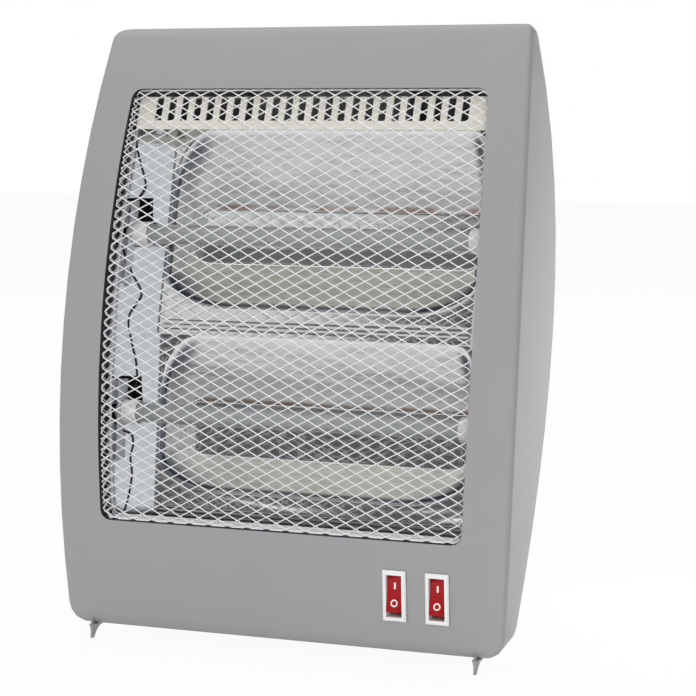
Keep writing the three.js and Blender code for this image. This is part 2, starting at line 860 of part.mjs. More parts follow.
function element(name, height, sheet) {
  const y = faceAt(height) + tube.setBack;
  const at = [y, height];
  const glass = bar(tube.radius, "x", -tube.halfLength, tube.halfLength, at, 16)
    .subtract(bar(tube.bore, "x", -tube.halfLength - overrun, tube.halfLength + overrun, at, 16));
  add("quartz_tube_" + name, glass, frostedQuartz);
  const core = unite(
    bar(coil.radius, "x", -coil.halfLength, coil.halfLength, at, 12),
    bar(coil.pinRadius, "x", -coil.pinReach, coil.pinReach, at, 8),
  );
  add("heating_coil_" + name, core, coilWire);
  for (const [end, side] of [["left", -1], ["right", 1]]) {
    const span = (from, to) => (side > 0 ? [from, to] : [-to, -from]);
    const holder = unite(
      bar(cap.radius, "x", ...span(cap.start, cap.end), at, 16),
      bar(cap.noseRadius, "x", ...span(cap.end - clearance, cap.noseEnd), at, 10),
    )
      .subtract(bar(tube.radius + clearance, "x", ...span(cap.start - overrun, tube.halfLength + clearance), at, 16))
      .subtract(bar(cap.bore, "x", ...span(cap.start, cap.noseEnd + overrun), at, 6));
    add("ceramic_cap_" + name + "_" + end, holder, ceramic);
    const near = cap.end + clearance;
    const far = near + bracket.sheet;
    const tabEnd = near + bracket.footLength;
    const seat = (x, z) => sheetDepth(sheet, z) - wingRise(x) - clearance;
    const bladeDepth = seat(near, height) - y + cap.noseRadius + bracket.holeGap + bracket.rim;
    const rings = [height - bracket.below, height + bracket.above].map((z) => [
      [near, seat(near, z) - bladeDepth],
      [far, seat(near, z) - bladeDepth],
      [far, seat(far, z) - bracket.sheet],
      [tabEnd, seat(tabEnd, z) - bracket.sheet],
      [tabEnd, seat(tabEnd, z)],
      [near, seat(near, z)],
    ].map(([x, depth]) => [side * x, depth, z]));
    const angle = loft(side > 0 ? rings : rings.map((ring) => [...ring].reverse()));
    const hole = bar(cap.noseRadius + bracket.holeGap, "x", ...span(near - overrun, tabEnd + overrun), at, 12);
    add("tube_bracket_" + name + "_" + end, angle.subtract(hole), plainSteel);
  }
}

element("upper", tube.upperHeight, upperSheet);
element("lower", tube.lowerHeight, lowerSheet);

// Side plates: lens-shaped sheets between the face's inside and the rear cover's brim

function sidePlate(side) {
  const front = [];
  const rear = [];
  const steps = 10;
  for (let step = 0; step <= steps; step++) {
    const z = plate.bottom + ((plate.top - plate.bottom) * step) / steps;
    front.push([faceAt(z) + body.wall + clearance, z]);
    rear.push([brimFront(z) - clearance, z]);
  }
  const span = side > 0 ? [plate.inner, plate.inner + plate.sheet] : [-plate.inner - plate.sheet, -plate.inner];
  let made = prism([...front, ...rear.reverse()], "x", ...span);
  for (const z of [tube.upperHeight, tube.lowerHeight]) {
    const y = faceAt(z) + tube.setBack;
    for (const at of [[y, z], [y + plate.returnSetBack, z - plate.returnDrop]]) {
      made = made.subtract(bar(plate.leadHole, "x", span[0] - overrun, span[1] + overrun, at, 8));
    }
  }
  return made;
}

add("side_plate_left", sidePlate(-1), plainSteel);
add("side_plate_right", sidePlate(1), plainSteel);

// Rear cover: a tapered box behind a brim that closes the shield

function coverSection(z, inset, front) {
  const fromBottom = z - cover.bottom - inset;
  const fromTop = cover.top - inset - z;
  const fillet = Math.max(
    endCut(fromBottom, cover.baseFillet - inset),
    endCut(fromTop, cover.backFillet - inset),
  );
  const half = sideAt(z) - cover.inset - inset - fillet;
  const back = body.depth - inset - fillet;
  const corner = cover.backCorner - inset;
  const backHalf = half - cover.backTaper;
  const taperStart = rimDepthShares[0] * body.depth;
  const taperLength = body.depth - taperStart - cover.backCorner;
  const right = [[half - (cover.backTaper * (front - taperStart)) / taperLength, front]];
  const steps = 3;
  for (let step = 0; step <= steps; step++) {
    const angle = (step / steps) * quarterTurn;
    right.push([
      backHalf - corner + corner * Math.cos(angle),
      back - corner + corner * Math.sin(angle),
    ]);
  }
  const left = right.map(([x, y]) => [-x, y]).reverse();
  return [...right, ...left].map(([x, y]) => [x, y, z]);
}

function coverBox(inset, before) {
  const levels = heights(
    cover.bottom + inset,
    cover.top - inset,
    cover.baseFillet - inset,
    cover.backFillet - inset,
    11,
  );
  return loft(levels.map((z) => coverSection(z, inset, rimAt(z) - before)));
}

// Curved plate that fits inside the shield's rim.
function brim() {
  const inset = body.wall + cover.fit;
  const levels = heights(
    inset,
    body.height - inset,
    body.bottomCorner - inset,
    body.topCorner - inset,
    14,
  );
  return loft(levels.map((z) => {
    const corner = Math.max(
      endCut(z - inset, body.bottomCorner - inset),
      endCut(body.height - inset - z, body.topCorner - inset),
    );
    const half = sideAt(z) - body.sideTaper - inset - corner;
    const rear = rimAt(z) - cover.brimSetBack;
    return [[half, rear, z], [half, rear - cover.brim, z], [-half, rear - cover.brim, z], [-half, rear, z]];
  }));
}

function rearCover() {
  let made = unite(brim(), coverBox(0, cover.brimSetBack + cover.brim / 2));
  const gripLow = grip.middle - grip.halfHeight;
  const gripFloor = body.depth - grip.depth;
  const pocket = (grow) => unite(
    prism(
      roundedRect(grip.halfWidth + grow, grip.halfHeight + grow, grip.corner + grow, [0, grip.middle]),
      "y",
      gripFloor - grow,
      body.depth + overrun,
    ),
    prism(
      roundedRect(grip.halfWidth + grow, grip.halfHeight + grow, grip.corner + grow, [0, grip.middle + grip.undercut]),
      "y",
      gripFloor - grow,
      body.depth - grip.lip + grow,
    ),
  );
  made = made.subtract(coverBox(body.wall, cover.brimSetBack + cover.brim + overrun));
  made = made.add(pocket(body.wall).intersect(coverBox(0, grip.depth))).subtract(pocket(0));
  for (let row = 0; row < louvre.rows; row++) {
    const z = louvre.bottom + row * louvre.pitch;
    if (z + louvre.height > gripLow - body.wall) continue;
    for (const side of [-1, 1]) {
      const middle = [(side * (louvre.inner + louvre.outer)) / 2, z];
      const halfLength = (louvre.outer - louvre.inner) / 2;
      const outline = roundedRect(halfLength, louvre.height / 2, louvre.height / 2.01, middle, 1);
      made = made.subtract(prism(outline, "y", body.depth - body.wall - overrun, body.depth + overrun));
    }
  }
  for (let slot = 0; slot < louvre.intakes; slot++) {
    const x = (slot - (louvre.intakes - 1) / 2) * louvre.intakePitch;
    made = made.subtract(block(
      [x - louvre.intakeWidth / 2, louvre.intakeFront, cover.bottom - overrun],
      [x + louvre.intakeWidth / 2, louvre.intakeBack, cover.bottom + body.wall + overrun],
    ));
  }
  for (const z of screwHeights) {
    for (const side of [-1, 1]) {
      const at = [side * screwPlace(z), z];
      made = made
        .subtract(bar(screw.hole, "y", brimFront(z) - overrun, rimAt(z) + overrun, at, 8))
        .subtract(bar(screw.head + clearance, "y", screwSeat(z), rimAt(z) + overrun, at, 10));
    }
  }
  const floorTop = cover.bottom + body.wall;
  made = made.subtract(bar(tip.holeRadius, "z", cover.bottom - overrun, floorTop + overrun, [tip.x, tip.y], 16));
  const wallBack = body.depth + overrun;
  const inlet = [gland.x, gland.z];
  made = made.subtract(bar(gland.neck + gland.gap, "y", body.depth - body.wall - overrun, wallBack, inlet, 14));
  for (const side of [-1, 1]) {
    const at = [side * foot.rearSpacing, foot.rearFront + foot.rearLength / 2];
    made = made.subtract(bar(foot.peg + clearance, "z", cover.bottom - overrun, floorTop + overrun, at, 12));
  }
  for (const at of shieldPosts()) {
    made = made.add(bar(shield.post, "y", body.depth - shield.gap, body.depth - body.wall / 2, at, 12));
  }
  return made;
}

// Posts on the back wall that carry the heat shield, as [x, z].
function shieldPosts() {
  const x = shield.halfWidth * shield.postPlaceShare;
  const middle = (shield.bottom + shield.top) / 2;
  const half = ((shield.top - shield.bottom) / 2) * shield.postPlaceShare;
  return [[-x, middle - half], [x, middle - half], [-x, middle + half], [x, middle + half]];
}

add("rear_cover", rearCover(), greyPlastic);

// Screws through the brim into the front housing's bosses

function coverScrew(side, z) {
  const seat = screwSeat(z) + clearance;
  const at = [side * screwPlace(z), z];
  return unite(
    bar(screw.shank, "y", brimFront(z) - clearance - screw.bite / 2, seat + screw.headHeight / 2, at, 6),
    bar(screw.head, "y", seat, seat + screw.headHeight, at, 10),
  ).subtract(block(
    [at[0] - screw.head / 6, seat + screw.headHeight / 2, z - screw.head * 0.7],
    [at[0] + screw.head / 6, seat + screw.headHeight + overrun, z + screw.head * 0.7],
  ));
}

screwHeights.forEach((z, row) => {
  add("screw_left_" + (row + 1), coverScrew(-1, z), plainSteel);
  add("screw_right_" + (row + 1), coverScrew(1, z), plainSteel);
});

// Feet: thin fins under the shield, and two more under the rear cover

function finRing(z, halfWidth, from, to) {
  const blunt = halfWidth / 2;
  return [
    [halfWidth, from + blunt, z],
    [halfWidth, to - blunt, z],
    [blunt, to, z],
    [-blunt, to, z],
    [-halfWidth, to - blunt, z],
    [-halfWidth, from + blunt, z],
    [-blunt, from, z],
    [blunt, from, z],
  ];
}

// Fin from its root under the body down to its tip on the floor, hollowed at its sides.
function fin(rootZ, front, rootLength, tipLength) {
  const rings = [];
  const steps = 5;
  for (let step = 0; step <= steps; step++) {
    const share = step / steps;
    const flare = (1 - share) ** 3;
    const half = foot.tipHalfWidth + (foot.rootHalfWidth - foot.tipHalfWidth) * flare;
    const length = tipLength + (rootLength - tipLength) * flare;
    const middle = front + tipLength / 2 + (rootLength - tipLength) * 0.3 * (flare + 0.4);
    rings.push(finRing(rootZ - (rootZ + foot.drop) * share, half, middle - length / 2, middle + length / 2));
  }
  return loft(rings);
}

function frontFoot(side) {
  const x = side * (sideAt(0) - foot.frontInset);
  const root = -clearance;
  const ridgeFront = faceAt(foot.ridgeHeight) - foot.ridgeProud;
  const ridge = loft([
    finRing(-foot.drop / 4, foot.tipHalfWidth, foot.front, foot.front + foot.tipLength),
    finRing(root, foot.tipHalfWidth, foot.front, foot.front + foot.tipLength),
    finRing(foot.ridgeHeight, foot.ridgeHalfWidth, ridgeFront, ridgeFront + foot.tipLength),
  ]);
  const blade = unite(fin(root, foot.front, foot.rootLength, foot.tipLength), ridge);
  const moved = blade.transform(new THREE.Matrix4().makeTranslation(x, 0, 0).elements);
  const cleared = moved.subtract(shieldSolid(-clearance, 0));
  const peg = bar(foot.peg, "z", -foot.drop / 4, foot.pegHeight, [x, foot.pegPlace], 12);
  return cleared.add(peg);
}

function rearFoot(side) {
  const x = side * foot.rearSpacing;
  const root = cover.bottom - clearance;
  const blade = fin(root, foot.rearFront, foot.rearLength, foot.rearLength * 0.7)
    .transform(new THREE.Matrix4().makeTranslation(x, 0, 0).elements);
  const at = [x, foot.rearFront + foot.rearLength / 2];
  return blade.add(bar(foot.peg, "z", root - foot.drop / 4, cover.bottom + foot.pegHeight, at, 12));
}

add("foot_front_left", frontFoot(-1), greyPlastic);
add("foot_front_right", frontFoot(1), greyPlastic);
add("foot_rear_left", rearFoot(-1), greyPlastic);
add("foot_rear_right", rearFoot(1), greyPlastic);

// Rocker switches, drawn in a frame whose origin is on the face and whose -Y points out of it

function switchBody() {
  const half = (size) => size / 2;
  const bezel = loft([0, rockerSwitch.bezelProud - rockerSwitch.bezelEdge, rockerSwitch.bezelProud].map((out, ring) => {
    const draw = ring === 2 ? rockerSwitch.bezelEdge : 0;
    return roundedRect(half(rockerSwitch.bezelWidth) - draw, half(rockerSwitch.bezelHeight) - draw, rockerSwitch.bezelEdge + draw)
      .map(([x, z]) => [x, -clearance - out, z]);
  }));
  const shaft = block(
    [-half(rockerSwitch.bodyWidth), -clearance - rockerSwitch.bezelEdge, -half(rockerSwitch.bodyHeight)],
    [half(rockerSwitch.bodyWidth), rockerSwitch.bodyDepth, half(rockerSwitch.bodyHeight)],
  );
  const opening = block(
    [-half(rockerSwitch.openingWidth), -rockerSwitch.bezelProud - overrun, -half(rockerSwitch.openingHeight)],
    [half(rockerSwitch.openingWidth), rockerSwitch.openingDepth, half(rockerSwitch.openingHeight)],
  );
  const pivot = bar(
    rockerSwitch.pinRadius + rockerSwitch.pinGap,
    "x",
    -rockerSwitch.bodyWidth,
    rockerSwitch.bodyWidth,
    [rockerSwitch.pivotDepth, 0],
    12,
  );
  let made = unite(bezel, shaft).subtract(opening).subtract(pivot);
  for (const place of [-1, 1]) {
    const z = place * rockerSwitch.bladeSpacing;
    made = made.add(block(
      [-half(rockerSwitch.bladeSheet), rockerSwitch.bodyDepth - rockerSwitch.bladeSheet, z - half(rockerSwitch.bladeWidth)],
      [half(rockerSwitch.bladeSheet), rockerSwitch.bodyDepth + rockerSwitch.bladeReach, z + half(rockerSwitch.bladeWidth)],
    ));
  }
  return made;
}

// Rocker about its own pivot: a shallow valley in front, a round hub behind, and a pin each side.
function rockerSolid() {
  const skirt = [];
  for (let step = 0; step <= 3; step++) {
    const angle = rocker.skirtStart + ((rocker.skirtEnd - rocker.skirtStart) * step) / 3;
    skirt.push([-rocker.skirt * Math.cos(angle), rocker.skirt * Math.sin(angle)]);
  }
  const points = [[-rocker.endReach, -rocker.halfHeight], ...skirt.map(([y, z]) => [y, -z])];
  const steps = 6;
  for (let step = 0; step <= steps; step++) {
    const angle = (step / steps - 1 / 2) * Math.PI;
    points.push([rocker.hub * Math.cos(angle), rocker.hub * Math.sin(angle)]);
  }
  points.push(...skirt.reverse(), [-rocker.endReach, rocker.halfHeight]);
  for (let step = 3; step > -4; step--) {
    const share = step / 4;
    const dip = (rocker.endReach - rocker.valley) * (1 - share * share);
    points.push([-rocker.endReach + dip, share * rocker.halfHeight]);
  }
  const reach = rockerSwitch.bodyWidth / 2 - clearance;
  return unite(
    prism(points, "x", -rocker.halfWidth, rocker.halfWidth),
    bar(rockerSwitch.pinRadius, "x", -reach, reach, [0, 0], 12),
  );
}

for (const [name, x] of [["left", rockerSwitch.leftPlace], ["right", rockerSwitch.rightPlace]]) {
  const frame = new THREE.Group();
  frame.applyMatrix4(faceFrame(x, rockerSwitch.height));
  assembly.add(frame);
  add("switch_body_" + name, switchBody(), bezelPlastic, frame);
  const button = add("rocker_" + name, rockerSolid(), redPlastic, frame);
  button.position.y = rockerSwitch.pivotDepth;
  button.rotation.x = -rocker.restTilt;
}

// Heat shield on the rear cover's posts, with the thermal cut-out on its front

const shieldBack = body.depth - shield.gap - clearance;

function heatShield() {
  const outline = roundedRect(
    shield.halfWidth,
    (shield.top - shield.bottom) / 2,
    shield.post * 2,
    [0, (shield.top + shield.bottom) / 2],
  );
  let made = prism(outline, "y", shieldBack - shield.sheet, shieldBack);
  for (const at of shieldPosts()) {
    made = made.subtract(bar(shield.post / 2, "y", shieldBack - overrun, shieldBack + overrun, at, 10));
  }
  return made;
}

add("heat_shield", heatShield(), plainSteel);

function thermalCutout() {
  const back = shieldBack - shield.sheet - clearance;
  const ears = prism(
    roundedRect(cutout.ear, cutout.radius * 0.6, cutout.radius * 0.5, [0, cutout.z]),
    "y",
    back - cutout.earSheet,
    back,
  );
  const can = bar(cutout.radius, "y", back - cutout.height, back - cutout.earSheet / 2, [0, cutout.z], 16);
  let made = unite(ears, can);
  for (const side of [-1, 1]) {
    const x = (side * cutout.radius) / 2;
    made = made.add(block(
      [x - cutout.earSheet / 4, back - cutout.height - cutout.radius * 0.9, cutout.z - cutout.earSheet * 2],
      [x + cutout.earSheet / 4, back - cutout.height + cutout.earSheet, cutout.z + cutout.earSheet * 2],
    ));
  }
  return made;
}

add("thermal_cutout", thermalCutout(), plainSteel);

// Tip-over switch: cup on the bottom wall, plunger through it, spring, and a small switch above

const coverFloor = cover.bottom + body.wall;

function tipHousing() {
  const base = coverFloor + clearance;
  const made = turned([
    [0, base],
    [tip.flangeRadius, base],
    [tip.flangeRadius, base + tip.flange],
    [tip.cupRadius, base + tip.flange],
    [tip.cupRadius, tip.cupTop],
    [0, tip.cupTop],
  ], [tip.x, tip.y]);
  const wallY = tip.y + tip.cupBore;
  const riser = block(
    [tip.x - tip.riserHalfWidth, wallY, tip.cupTop - tip.cupRoof],
    [tip.x + tip.riserHalfWidth, wallY + tip.riserSheet, tip.riserTop],
  );
  return unite(made, riser)
    .subtract(bar(tip.cupBore, "z", base - overrun, tip.cupTop - tip.cupRoof, [tip.x, tip.y]))
    .subtract(bar(tip.stemRadius + clearance, "z", base, tip.riserTop, [tip.x, tip.y], 14));
}

function tipPlunger() {
  const floor = -foot.drop + tip.floorGap;
  return turned([
    [0, floor],
    [tip.footRadius * 0.8, floor],
    [tip.footRadius, floor + tip.footRadius * 0.2],
    [tip.footRadius, tip.collarBottom],
    [tip.collarRadius, tip.collarBottom],
    [tip.collarRadius, tip.collarTop],
    [tip.stemRadius, tip.collarTop],
    [tip.stemRadius, tip.stemTop],
    [0, tip.stemTop],
  ], [tip.x, tip.y], 20);
}

// Helical spring as one unbroken tube of eight steps a curl and five sides.
function tipSpring() {
  const low = tip.collarTop + clearance + tip.wire;
  const high = tip.cupTop - tip.cupRoof - clearance - tip.wire;
  const steps = tip.curls * 8;
  const sides = 5;
  const rings = [];
  const centres = [];
  for (let step = 0; step <= steps; step++) {
    const angle = (step / 8) * 2 * Math.PI;
    const z = low + ((high - low) * step) / steps;
    centres.push([tip.springRadius * Math.cos(angle), tip.springRadius * Math.sin(angle), z]);
    const ring = [];
    for (let side = 0; side < sides; side++) {
      const turn = (side / sides) * 2 * Math.PI;
      const radius = tip.springRadius + tip.wire * Math.cos(turn);
      ring.push([
        tip.x + radius * Math.cos(angle),
        tip.y + radius * Math.sin(angle),
        z + tip.wire * Math.sin(turn),
      ]);
    }
    rings.push(ring);
  }
  let least = Infinity;
  for (let first = 0; first < centres.length; first++) {
    for (let second = first + 6; second < centres.length; second++) {
      const apart = Math.hypot(...centres[first].map((value, axis) => value - centres[second][axis]));
      least = Math.min(least, apart - 2 * tip.wire);
    }
  }
  console.log("tip_spring: least gap between curls " + least.toFixed(2) + " mm");
  return loft(rings);
}

function microSwitch() {
  const back = tip.y + tip.cupBore - clearance;
  const front = back - micro.width;
  const x = tip.x;
  const leverTop = tip.stemTop + clearance + micro.lever;
  return unite(
    block([x - micro.halfLength, front, micro.bottom], [x + micro.halfLength, back, micro.bottom + micro.height]),
    block(
      [x - micro.halfLength, front + micro.lever, leverTop - micro.lever],
      [x + micro.halfLength * 0.6, back - micro.lever, leverTop],
    ),
    block(
      [x - micro.halfLength, front + micro.lever, leverTop - micro.lever],
      [x - micro.halfLength * 0.85, back - micro.lever, micro.bottom + micro.lever],
    ),
  );
}

add("tip_switch_housing", tipHousing(), darkPlastic);
add("tip_plunger", tipPlunger(), darkPlastic);
add("tip_spring", tipSpring(), springSteel);
add("micro_switch", microSwitch(), darkPlastic);

// Terminal block and cord gland

function terminalBlock() {
  const base = coverFloor + clearance;
  const boreReach = terminal.halfWidth + overrun;
  let made = block(
    [terminal.x - terminal.halfLength, terminal.y - terminal.halfWidth, base],
    [terminal.x + terminal.halfLength, terminal.y + terminal.halfWidth, base + terminal.height],
  );
  for (let pole = 0; pole < terminal.poles; pole++) {
    const x = terminal.x + (pole - (terminal.poles - 1) / 2) * terminal.pitch;
    const z = base + terminal.height * 0.4;
    made = made
      .subtract(bar(terminal.bore, "y", terminal.y - boreReach, terminal.y + boreReach, [x, z], 10))
      .subtract(bar(terminal.screw, "z", z, base + terminal.height + overrun, [x, terminal.y], 10));
  }
  return made;
}

add("terminal_block", terminalBlock(), ceramic);

function cordGland() {
  const back = body.depth + gland.gap;
  const inner = body.depth - body.wall - gland.gap;
  const at = [gland.x, gland.z];
  return unite(
    bar(gland.flange, "y", back, back + gland.flangeSheet, at, 18),
    bar(gland.neck, "y", inner - gland.flangeSheet, back + gland.flangeSheet / 2, at, 14),
    bar(gland.neck + gland.flangeSheet / 2, "y", inner - gland.flangeSheet, inner, at, 14),
  ).subtract(bar(gland.bore, "y", inner - overrun, back + overrun, at, 12));
}

add("cord_gland", cordGland(), darkPlastic);

// Insulated leads: soft curves through named places, each end a hair short of what it joins

function insulatedLead(name, places) {
  const path = new THREE.CatmullRomCurve3(places.map((place) => new THREE.Vector3(...place)), false, "centripetal");
  const circle = new THREE.Path().absarc(0, 0, lead.radius, 0, 2 * Math.PI);
  const outline = new THREE.Shape(circle.getSpacedPoints(lead.sides).slice(1));
  const steps = Math.max(lead.sides, Math.round(path.getLength() / lead.pace));
  const made = new THREE.ExtrudeGeometry(outline, { steps, extrudePath: path, bevelEnabled: false });
  add("lead_" + name, solid(made), blackSleeve);
}

// First stretch of a tube lead: out through the side plate, back, and in again behind the reflector.
function tubeLeadStart(side, height) {
  const y = faceAt(height) + tube.setBack;
  const pin = coil.pinReach + clearance;
  const out = plate.inner + plate.sheet + lead.radius * 3;
  const back = y + plate.returnSetBack;
  const low = height - plate.returnDrop;
  return [
    [pin, y, height],
    [out, y, height],
    [out + lead.radius * 3, y + lead.radius * 5, height - lead.radius * 3],
    [out + lead.radius * 3, back - lead.radius * 5, low + lead.radius * 3],
    [out, back, low],
    [plate.inner - lead.radius * 6, back, low],
  ].map(([x, ...rest]) => [side * x, ...rest]);
}

const bladeBack = rockerSwitch.bodyDepth + rockerSwitch.bladeReach + clearance;

// Place behind a switch's upper or lower blade, `away` behind its tip.
function bladePlace(x, upDown, away) {
  const place = new THREE.Vector3(0, bladeBack + away, upDown * rockerSwitch.bladeSpacing);
  return place.applyMatrix4(faceFrame(x, rockerSwitch.height)).toArray();
}

// Place at a pole of the terminal block, on its front (-1) or back (1).
function polePlace(pole, side, away) {
  const x = terminal.x + (pole - (terminal.poles - 1) / 2) * terminal.pitch;
  const z = coverFloor + clearance + terminal.height * 0.4;
  return [x, terminal.y + side * (terminal.halfWidth + clearance + away), z];
}

// Place inside the body, in shares of its half width, depth and height.
function insidePlace(xShare, yShare, zShare) {
  return [xShare * body.halfWidth, yShare * body.depth, zShare * body.height];
}

const cutoutTip = shieldBack - shield.sheet - clearance - cutout.height - cutout.radius * 0.9;
const microHeight = micro.bottom + micro.height / 2;
const microDepth = tip.y + tip.cupBore - clearance - micro.width / 2;

insulatedLead("tube_upper_right", [
  ...tubeLeadStart(1, tube.upperHeight),
  insidePlace(0.745, 0.627, 0.538),
  insidePlace(0.731, 0.559, 0.331),
  insidePlace(0.731, 0.441, 0.182),
  bladePlace(rockerSwitch.rightPlace, 1, lead.bladeRun),
  bladePlace(rockerSwitch.rightPlace, 1, 0),
]);
insulatedLead("tube_lower_right", [
  ...tubeLeadStart(1, tube.lowerHeight),
  insidePlace(0.772, 0.458, 0.254),
  insidePlace(0.676, 0.381, 0.166),
  bladePlace(rockerSwitch.leftPlace, 1, lead.bladeRun),
  bladePlace(rockerSwitch.leftPlace, 1, 0),
]);
insulatedLead("tube_upper_left", [
  ...tubeLeadStart(-1, tube.upperHeight),
  insidePlace(-0.745, 0.644, 0.538),
  insidePlace(-0.717, 0.627, 0.303),
  insidePlace(-0.634, 0.492, 0.11),
  insidePlace(-0.276, 0.458, 0.066),
  polePlace(0, -1, lead.poleRun),
  polePlace(0, -1, 0),
]);
insulatedLead("tube_lower_left", [
  ...tubeLeadStart(-1, tube.lowerHeight),
  insidePlace(-0.772, 0.458, 0.254),
  insidePlace(-0.676, 0.398, 0.138),
  insidePlace(-0.276, 0.373, 0.047),
  polePlace(0, -1, lead.passRun),
  polePlace(1, -1, lead.poleRun),
  polePlace(1, -1, 0),
]);
insulatedLead("supply", [
  polePlace(2, 1, 0),
  polePlace(2, 1, lead.switchRun),
  insidePlace(0.138, 0.847, 0.05),
  insidePlace(-0.179, 0.797, 0.094),
  [tip.x + micro.halfLength + lead.switchRun, microDepth, microHeight],
  [tip.x + micro.halfLength + clearance, microDepth, microHeight],
]);
insulatedLead("cutout", [
  [tip.x - micro.halfLength - clearance, microDepth, microHeight],
  [tip.x - micro.halfLength - lead.switchRun, microDepth, microHeight],
  insidePlace(-0.538, 0.763, 0.248),
  insidePlace(-0.276, 0.712, 0.414),
  [-cutout.radius / 2, cutoutTip - lead.cutoutRun, cutout.z],
  [-cutout.radius / 2, cutoutTip - clearance, cutout.z],
]);
insulatedLead("switches", [
  [cutout.radius / 2, cutoutTip - clearance, cutout.z],
  [cutout.radius / 2, cutoutTip - lead.cutoutRun, cutout.z],
  insidePlace(0.276, 0.712, 0.414),
  insidePlace(0.455, 0.661, 0.248),
  insidePlace(0.51, 0.458, 0.11),
  bladePlace(rockerSwitch.leftPlace, -1, lead.bladeRun),
  bladePlace(rockerSwitch.leftPlace, -1, 0),
]);
const bladeFoot = bladePlace(0, -1, -rockerSwitch.bladeReach / 2);
const bladeLow = bladeFoot[2] - rockerSwitch.bladeWidth / 2 - clearance;
insulatedLead("switch_link", [
  [rockerSwitch.leftPlace, bladeFoot[1], bladeLow],
  [rockerSwitch.leftPlace + link.slant, bladeFoot[1], bladeLow - link.drop],
  [(rockerSwitch.leftPlace + rockerSwitch.rightPlace) / 2, bladeFoot[1], bladeLow - link.dip],
  [rockerSwitch.rightPlace - link.slant, bladeFoot[1], bladeLow - link.drop],
  [rockerSwitch.rightPlace, bladeFoot[1], bladeLow],
]);

// The bounding box's middle goes to the origin, with the feet on the floor

const box = new THREE.Box3().setFromObject(assembly);
assembly.position.set(0, -(box.min.y + box.max.y) / 2, foot.drop);

export default group;
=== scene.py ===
"""Looks of a two-tube quartz heater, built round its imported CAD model.

Lengths are metres in the CAD's own frame: X to the right, the window faces -Y, Z up from the floor.
"""

import json
import math

import bpy
import bmesh
import numpy as np
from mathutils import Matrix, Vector

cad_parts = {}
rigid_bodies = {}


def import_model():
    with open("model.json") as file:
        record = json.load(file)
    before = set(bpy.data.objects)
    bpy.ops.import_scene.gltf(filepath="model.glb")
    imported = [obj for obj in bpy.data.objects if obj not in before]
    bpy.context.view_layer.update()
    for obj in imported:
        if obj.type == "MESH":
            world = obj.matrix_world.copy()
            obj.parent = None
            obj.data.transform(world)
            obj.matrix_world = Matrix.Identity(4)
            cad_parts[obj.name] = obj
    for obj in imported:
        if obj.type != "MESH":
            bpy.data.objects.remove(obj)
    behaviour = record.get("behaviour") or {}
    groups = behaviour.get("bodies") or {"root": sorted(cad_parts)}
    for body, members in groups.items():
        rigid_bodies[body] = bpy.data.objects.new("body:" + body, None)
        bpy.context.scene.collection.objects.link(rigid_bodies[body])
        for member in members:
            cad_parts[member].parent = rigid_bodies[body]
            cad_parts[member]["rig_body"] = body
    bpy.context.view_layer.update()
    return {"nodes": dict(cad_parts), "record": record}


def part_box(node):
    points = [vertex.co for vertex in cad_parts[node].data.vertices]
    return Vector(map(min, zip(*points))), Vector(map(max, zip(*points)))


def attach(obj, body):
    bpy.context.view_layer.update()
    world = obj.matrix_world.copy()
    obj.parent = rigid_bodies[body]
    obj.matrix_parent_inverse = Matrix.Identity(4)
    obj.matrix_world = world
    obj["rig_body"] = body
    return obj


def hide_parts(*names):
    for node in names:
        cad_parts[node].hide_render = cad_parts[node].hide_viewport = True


bl_info = {
    "name": "Quartz heater looks",
    "version": (1, 0, 0),
    "blender": (4, 5, 0),
    "location": "View3D > Sidebar > Heater",
    "description": "Builds the visible pieces and finishes of a two-tube quartz heater round its CAD frame",
    "category": "Object",
}

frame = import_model()

MM = 0.001
HOUSING_LOW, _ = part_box("front_housing")
FACE_FRONT, BODY_BASE = HOUSING_LOW.y, HOUSING_LOW.z

# ---- Curves of the body, as functions of the height

# The bowed face's radius, and how high above the body's base it stands out furthest
FACE_RADIUS, FACE_VERTEX = 691 * MM, 70 * MM
# The window's half-width at its widest, its sides' radius, and how high above the base it is widest
WINDOW_HALF, WINDOW_RADIUS, WINDOW_WIDEST = 118 * MM, 2400 * MM, 190 * MM
WINDOW_BASE = BODY_BASE + 65.8 * MM
WINDOW_TOP = BODY_BASE + 325.4 * MM
WINDOW_MIDDLE = (WINDOW_BASE + WINDOW_TOP) / 2
WINDOW_HALF_HEIGHT = (WINDOW_TOP - WINDOW_BASE) / 2


def sag(radius, distance):
    """Fall of an arc at a distance from its vertex: radius less the root of radius² minus distance²."""
    return radius - np.sqrt(radius * radius - distance * distance)


def face_y(z):
    """Depth of the bowed face: an arc that falls back below and above its vertex."""
    return FACE_FRONT + sag(FACE_RADIUS, z - BODY_BASE - FACE_VERTEX)


def window_half(z):
    """Half-width of the window: the widest less an arc's fall below and above that place."""
    return WINDOW_HALF - sag(WINDOW_RADIUS, z - BODY_BASE - WINDOW_WIDEST)


# ---- Meshes from arrays

SAME_PLACE, NO_LENGTH = 1e-6, 1e-7  # points this close are merged, and edges this short dropped
STEEP = 0.8  # a path whose direction has at least this mean part up or down counts as steep


def grid_quads(rows, columns, wrap_rows=False, wrap_columns=False):
    """Quads that join each point of a grid to its next row and next column."""
    index = np.arange(rows * columns).reshape(rows, columns)
    index = np.pad(index, ((0, int(wrap_rows)), (0, int(wrap_columns))), "wrap")
    corners = [index[:-1, :-1], index[:-1, 1:], index[1:, 1:], index[1:, :-1]]
    return np.stack(corners, -1).reshape(-1, 4)


def sheet_of(points, wrap_rows=False, wrap_columns=False):
    """Vertices and quads of a grid of points, of shape rows by columns by 3."""
    rows, columns = points.shape[:2]
    return points.reshape(-1, 3), grid_quads(rows, columns, wrap_rows, wrap_columns)


def together(*parts):
    """One list of vertices and quads out of several, each one's quads shifted past those before."""
    vertices, quads, start = [], [], 0
    for places, faces in parts:
        vertices.append(places)
        quads.append(faces + start)
        start += len(places)
    return np.vstack(vertices), np.vstack(quads)


